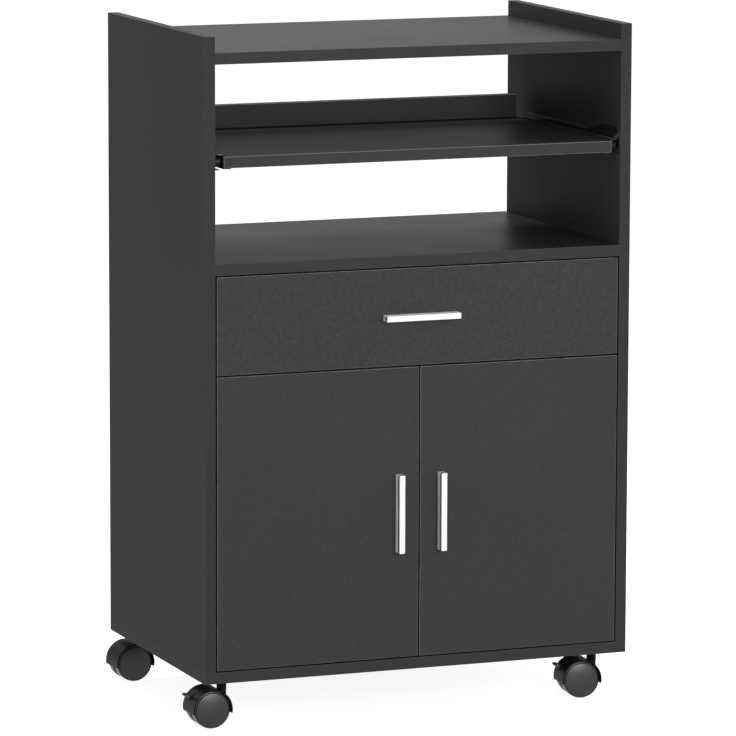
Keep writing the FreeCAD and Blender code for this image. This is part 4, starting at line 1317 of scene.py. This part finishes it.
@dataclass
class Caster:
    """A twin-wheel caster with a hood, and a brake lever on the front ones.

    The lips are pairs in mm, below the tread and in from the wheel's inner or outer face. The
    lever's rings are its reach, its drop, half its width and half its thickness, in mm.
    """

    name: str
    side: float
    end: float
    turn: float
    braked: bool
    reach_x: float = 265 * MM
    reach_y: float = 157.5 * MM
    trail: float = 19 * MM
    radius: float = 25 * MM
    near: float = 3.5 * MM
    width: float = 14 * MM
    bore: float = 3.05 * MM
    bore_end: float = 16.5 * MM
    hub: float = 8 * MM
    dish: float = 2.5 * MM
    inner_lip: Sequence[tuple[float, float]] = ((3.4, 0.5), (0.8, 0.5), (0.25, 0.75), (0.0, 1.3))
    outer_lip: Sequence[tuple[float, float]] = (
        (0.0, 1.3), (0.3, 0.6), (0.8, 0.2), (1.3, 0.0), (1.8, 0.0), (1.9, 1.0), (2.4, 1.0))
    disc_in: float = 0.2 * MM
    disc_round: float = 1.25 * MM
    round_steps: int = 5
    dome: float = 1.9 * MM
    dome_steps: int = 8
    steps: int = 96
    wheel_sharp: float = 40.0
    hood_round: float = 0.5 * MM
    lever_pivot: float = 19.5 * MM
    lever_angle: float = 33.0
    lever_rings: Sequence[tuple[float, float, float, float]] = (
        (-2.3, 0.0, 1.45, 1.0), (-1.9, 0.0, 1.5, 1.8), (0.0, 0.0, 1.5, 2.3), (1.9, 0.0, 1.5, 1.8),
        (2.6, 0.0, 1.5, 1.2), (7.6, 0.0, 1.5, 1.15), (8.5, 0.0, 2.6, 1.3), (9.5, 0.1, 4.6, 1.8),
        (11.5, 0.2, 5.8, 2.5), (14.0, 0.5, 5.9, 2.9), (16.8, 0.8, 5.4, 2.8), (19.2, 1.1, 4.3, 2.2),
        (21.0, 1.3, 2.9, 1.5), (22.1, 1.4, 1.4, 0.8), (22.5, 1.5, 0.5, 0.35))
    lever_sides: int = 20
    lever_sharp: float = 50.0

    def place(self) -> Matrix:
        """Return the placement of the swivel axis on the floor."""
        base = Vector((self.side * self.reach_x, self.end * self.reach_y, 0.0))
        return Matrix.Translation(base) @ Matrix.Rotation(math.radians(self.turn), 4, "Z")

    def axle(self) -> Vector:
        """Return the middle of the axle, in the caster's own frame."""
        return Vector((-self.trail, 0.0, self.radius))

    def profile(self) -> list[tuple[float, float]]:
        """Plan the wheel's profile, from the pole in its bore to the pole of its disc.

        Returns:
            The radius and the distance from the caster's middle of each point, in metres.
        """
        near, far = self.near, self.near + self.width
        inner = [(self.radius - down * MM, near + into * MM) for down, into in self.inner_lip]
        outer = [(self.radius - down * MM, far - into * MM) for down, into in self.outer_lip]
        points = [(0.0, self.bore_end), (self.bore, self.bore_end), (self.bore, near),
                  (self.hub, near), (self.hub, near + self.dish), (inner[0][0], near + self.dish),
                  *inner, *outer]
        disc = outer[-1][0]
        for step in range(self.round_steps + 1):
            turn = math.pi / 2 * step / self.round_steps
            points.append((disc - self.disc_round * (1.0 - math.cos(turn)),
                           far - self.disc_in + self.disc_round * math.sin(turn)))
        edge, level = points[-1]
        for step in range(1, self.dome_steps + 1):
            share = 1.0 - step / self.dome_steps
            points.append((edge * share, level + self.dome * (1.0 - share * share)))
        return points

    def wheel(self, which: str, way: float, finishes: Finishes) -> bpy.types.Object:
        """Turn one wheel and put it in its node's place.

        Args:
            which: The wheel's word in its node's name.
            way: -1 for the outer and 1 for the inner wheel.
            finishes: The cart's finishes.

        Returns:
            The wheel.
        """
        outward = Vector((0.0, way, 0.0)).to_track_quat("Z", "Y").to_matrix().to_4x4()
        form = bmesh.new()
        lathe(form, self.profile(), self.steps,
              self.place() @ Matrix.Translation(self.axle()) @ outward)
        bmesh.ops.remove_doubles(form, verts=form.verts[:], dist=MERGE)
        bmesh.ops.recalc_face_normals(form, faces=form.faces[:])
        return stand_in(f"{self.name}_{which}_wheel", form, finishes.wheel, self.wheel_sharp)

    def lever(self, finishes: Finishes) -> bpy.types.Object:
        """Skin the brake lever, from its eye to its pointed tip, through oval rings.

        Args:
            finishes: The cart's finishes.

        Returns:
            The lever.
        """
        angle = math.radians(self.lever_angle)
        along = Vector((-math.cos(angle), 0.0, math.sin(angle)))
        across = Vector((0.0, -1.0, 0.0))
        where = Matrix((along, across, along.cross(across))).transposed().to_4x4()
        where.translation = self.axle() + along * self.lever_pivot
        where = self.place() @ where
        turns = [2 * math.pi * index / self.lever_sides for index in range(self.lever_sides)]
        form = bmesh.new()
        rings = []
        for reach, drop, half_width, half_metal in self.lever_rings:
            spots = (Vector((reach, half_width * math.cos(turn),
                             half_metal * math.sin(turn) - drop)) for turn in turns)
            rings.append([form.verts.new(where @ (spot * MM)) for spot in spots])
        skin(form, rings, self.lever_sides)
        form.faces.new(rings[0])
        form.faces.new(rings[-1])
        bmesh.ops.recalc_face_normals(form, faces=form.faces[:])
        return stand_in(f"{self.name}_brake_lever", form, finishes.lever, self.lever_sharp)

    def build(self, finishes: Finishes) -> list[bpy.types.Object]:
        """Make the hood, the wheels and the brake lever.

        Args:
            finishes: The cart's finishes.

        Returns:
            The pieces made.
        """
        pieces = [refined(f"{self.name}_caster_hood", finishes.hood, self.hood_round),
                  self.wheel("outer", -1.0, finishes), self.wheel("inner", 1.0, finishes)]
        if self.braked:
            pieces.append(self.lever(finishes))
        return pieces


@dataclass
class CasterSet:
    """The four casters, their plates and the plates' screws."""

    casters: Sequence[Caster] = field(default_factory=lambda: (
        Caster("front_left", -1.0, -1.0, 0.0, True),
        Caster("front_right", 1.0, -1.0, -6.0, True),
        Caster("back_left", -1.0, 1.0, 3.0, False),
        Caster("back_right", 1.0, 1.0, -4.0, False),
    ))
    plate_under: float = 61 * MM
    plate_round: float = 0.4 * MM
    screw_reach: float = 15 * MM
    head: Head = Head(3.4 * MM, 1.2 * MM)

    def build(self, finishes: Finishes) -> list[bpy.types.Object]:
        """Make every caster and the screws of the plates.

        Args:
            finishes: The cart's finishes.

        Returns:
            The pieces made.
        """
        pieces = [refined("caster_plates", finishes.enamel, self.plate_round)]
        rows = []
        for caster in self.casters:
            pieces.extend(caster.build(finishes))
            for way in (-1.0, 1.0):
                middle = Vector((caster.side * caster.reach_x,
                                 caster.end * caster.reach_y + way * self.screw_reach,
                                 self.plate_under))
                rows.append(HeadRow.pair(middle, Axis.X.vector(self.screw_reach),
                                         -Axis.Z.vector(), self.head))
        pieces.append(heads("caster_screw_heads", rows, finishes.zinc, "case"))
        return pieces


# Studio


@dataclass
class Lamp:
    """A square soft lamp that points at a spot."""

    name: str
    place: Place
    target: Place
    size: float
    watts: float

    def build(self) -> None:
        """Make the lamp, aimed at its target."""
        data = bpy.data.lights.new(self.name, "AREA")
        data.shape = "SQUARE"
        data.size = self.size
        data.energy = self.watts
        run = Vector(self.target) - Vector(self.place)
        turned = run.to_track_quat("-Z", "Y").to_matrix().to_4x4()
        lamp = add_object(self.name, data)
        lamp.matrix_world = Matrix.Translation(Vector(self.place)) @ turned
        LOG.info("lit %s at %.0f W", self.name, self.watts)


@dataclass
class Studio:
    """The plain pale floor, the white surround, the soft lamps and the camera."""

    eye: Place = (-2.58707, -6.58894, 1.53661)
    yaw: float = 21.4539
    pitch: float = 8.8266
    roll: float = 0.1757
    focal_pixels: float = 5318.13
    image_pixels: float = 736.0
    sensor: float = 36.0
    clip_end: float = 100.0
    floor_size: float = 60.0
    floor_tone: float = 0.42
    floor_glow: float = 0.89
    ambient: float = 0.32
    lamps: Sequence[Lamp] = field(default_factory=lambda: (
        Lamp("key_lamp", (0.4, -3.3, 1.05), (0.0, 0.0, 0.6), 1.4, 70.0),
        Lamp("left_lamp", (-4.3, -0.9, 1.9), (0.0, 0.0, 0.4), 2.0, 38.0),
        Lamp("right_lamp", (4.3, -0.3, 1.9), (0.0, 0.0, 0.4), 2.0, 80.0),
        Lamp("back_lamp", (0.0, 2.2, 3.4), (0.0, 0.1, 0.4), 1.0, 75.0),
    ))

    def surround(self) -> None:
        """Make the world: white to the camera, to gloss and through glass, and softer as light."""
        world = bpy.data.worlds.new("surround")
        world.use_nodes = True
        graph = Graph(world.node_tree)
        soft = graph.node("ShaderNodeBackground", {}, {"Color": WHITE, "Strength": self.ambient})
        plain = graph.node("ShaderNodeBackground", {}, {"Color": WHITE, "Strength": 1.0})
        mix = graph.node("ShaderNodeMixShader", {}, {
            "Fac": graph.seen(), "Shader": soft.outputs[0], "Shader_001": plain.outputs[0]})
        graph.node("ShaderNodeOutputWorld", {}, {"Surface": mix.outputs[0]})
        bpy.context.scene.world = world

    def floor(self) -> None:
        """Make the pale floor, white to the camera where no shadow falls."""
        half = self.floor_size / 2
        mesh = bpy.data.meshes.new("floor")
        corners = [(-half, -half, 0.0), (half, -half, 0.0), (half, half, 0.0), (-half, half, 0.0)]
        mesh.from_pydata(corners, [], [(0, 1, 2, 3)])
        surface = Surface("pale_floor")
        matt = surface.node("ShaderNodeBsdfDiffuse", {}, {"Color": scaled(WHITE, self.floor_tone)})
        glow = surface.node("ShaderNodeEmission", {}, {
            "Color": WHITE, "Strength": surface.seen() * self.floor_glow})
        both = surface.node("ShaderNodeAddShader", {}, {
            "Shader": matt.outputs[0], "Shader_001": glow.outputs[0]})
        surface.node("ShaderNodeOutputMaterial", {}, {"Surface": both.outputs[0]})
        mesh.materials.append(surface.material)
        add_object("floor", mesh)

    def camera(self) -> None:
        """Place the camera at the photograph's viewing angle."""
        yaw, pitch, roll = (math.radians(angle) for angle in (self.yaw, self.pitch, self.roll))
        ahead = Vector((math.sin(yaw) * math.cos(pitch), math.cos(yaw) * math.cos(pitch),
                        -math.sin(pitch)))
        right = Vector((math.cos(yaw), -math.sin(yaw), 0.0))
        above = right.cross(ahead)
        turned_right = right * math.cos(roll) + above * math.sin(roll)
        turned_above = above * math.cos(roll) - right * math.sin(roll)
        matrix = Matrix((turned_right, turned_above, -ahead)).transposed().to_4x4()
        matrix.translation = Vector(self.eye)
        data = bpy.data.cameras.new("photo_camera")
        data.sensor_width = self.sensor
        data.sensor_fit = "HORIZONTAL"
        data.lens = self.focal_pixels / self.image_pixels * self.sensor
        data.clip_end = self.clip_end
        camera = add_object("photo_camera", data)
        camera.matrix_world = matrix
        bpy.context.scene.camera = camera

    def build(self) -> None:
        """Set up the whole studio."""
        bpy.context.scene.view_settings.view_transform = "Standard"
        self.surround()
        self.floor()
        for lamp in self.lamps:
            lamp.build()
        self.camera()


def main() -> None:
    """Build every sub-assembly in order, then the studio."""
    logging.basicConfig(level=logging.INFO, format="%(name)s: %(message)s")
    finishes = Finishes()
    units = [
        Case(),
        SlidingUnit("shelf", ("pull_out_shelf", "shelf_rear_rail")),
        Drawer("drawer", ("left_drawer_side", "right_drawer_side", "drawer_back")),
        Door("left"),
        Door("right"),
        HingeMounts(),
        CasterSet(),
    ]
    for unit in units:
        for piece in unit.build(finishes):
            LOG.info("%s is in place", piece.name)
    Studio().build()


if __name__ == "__main__":
    main()
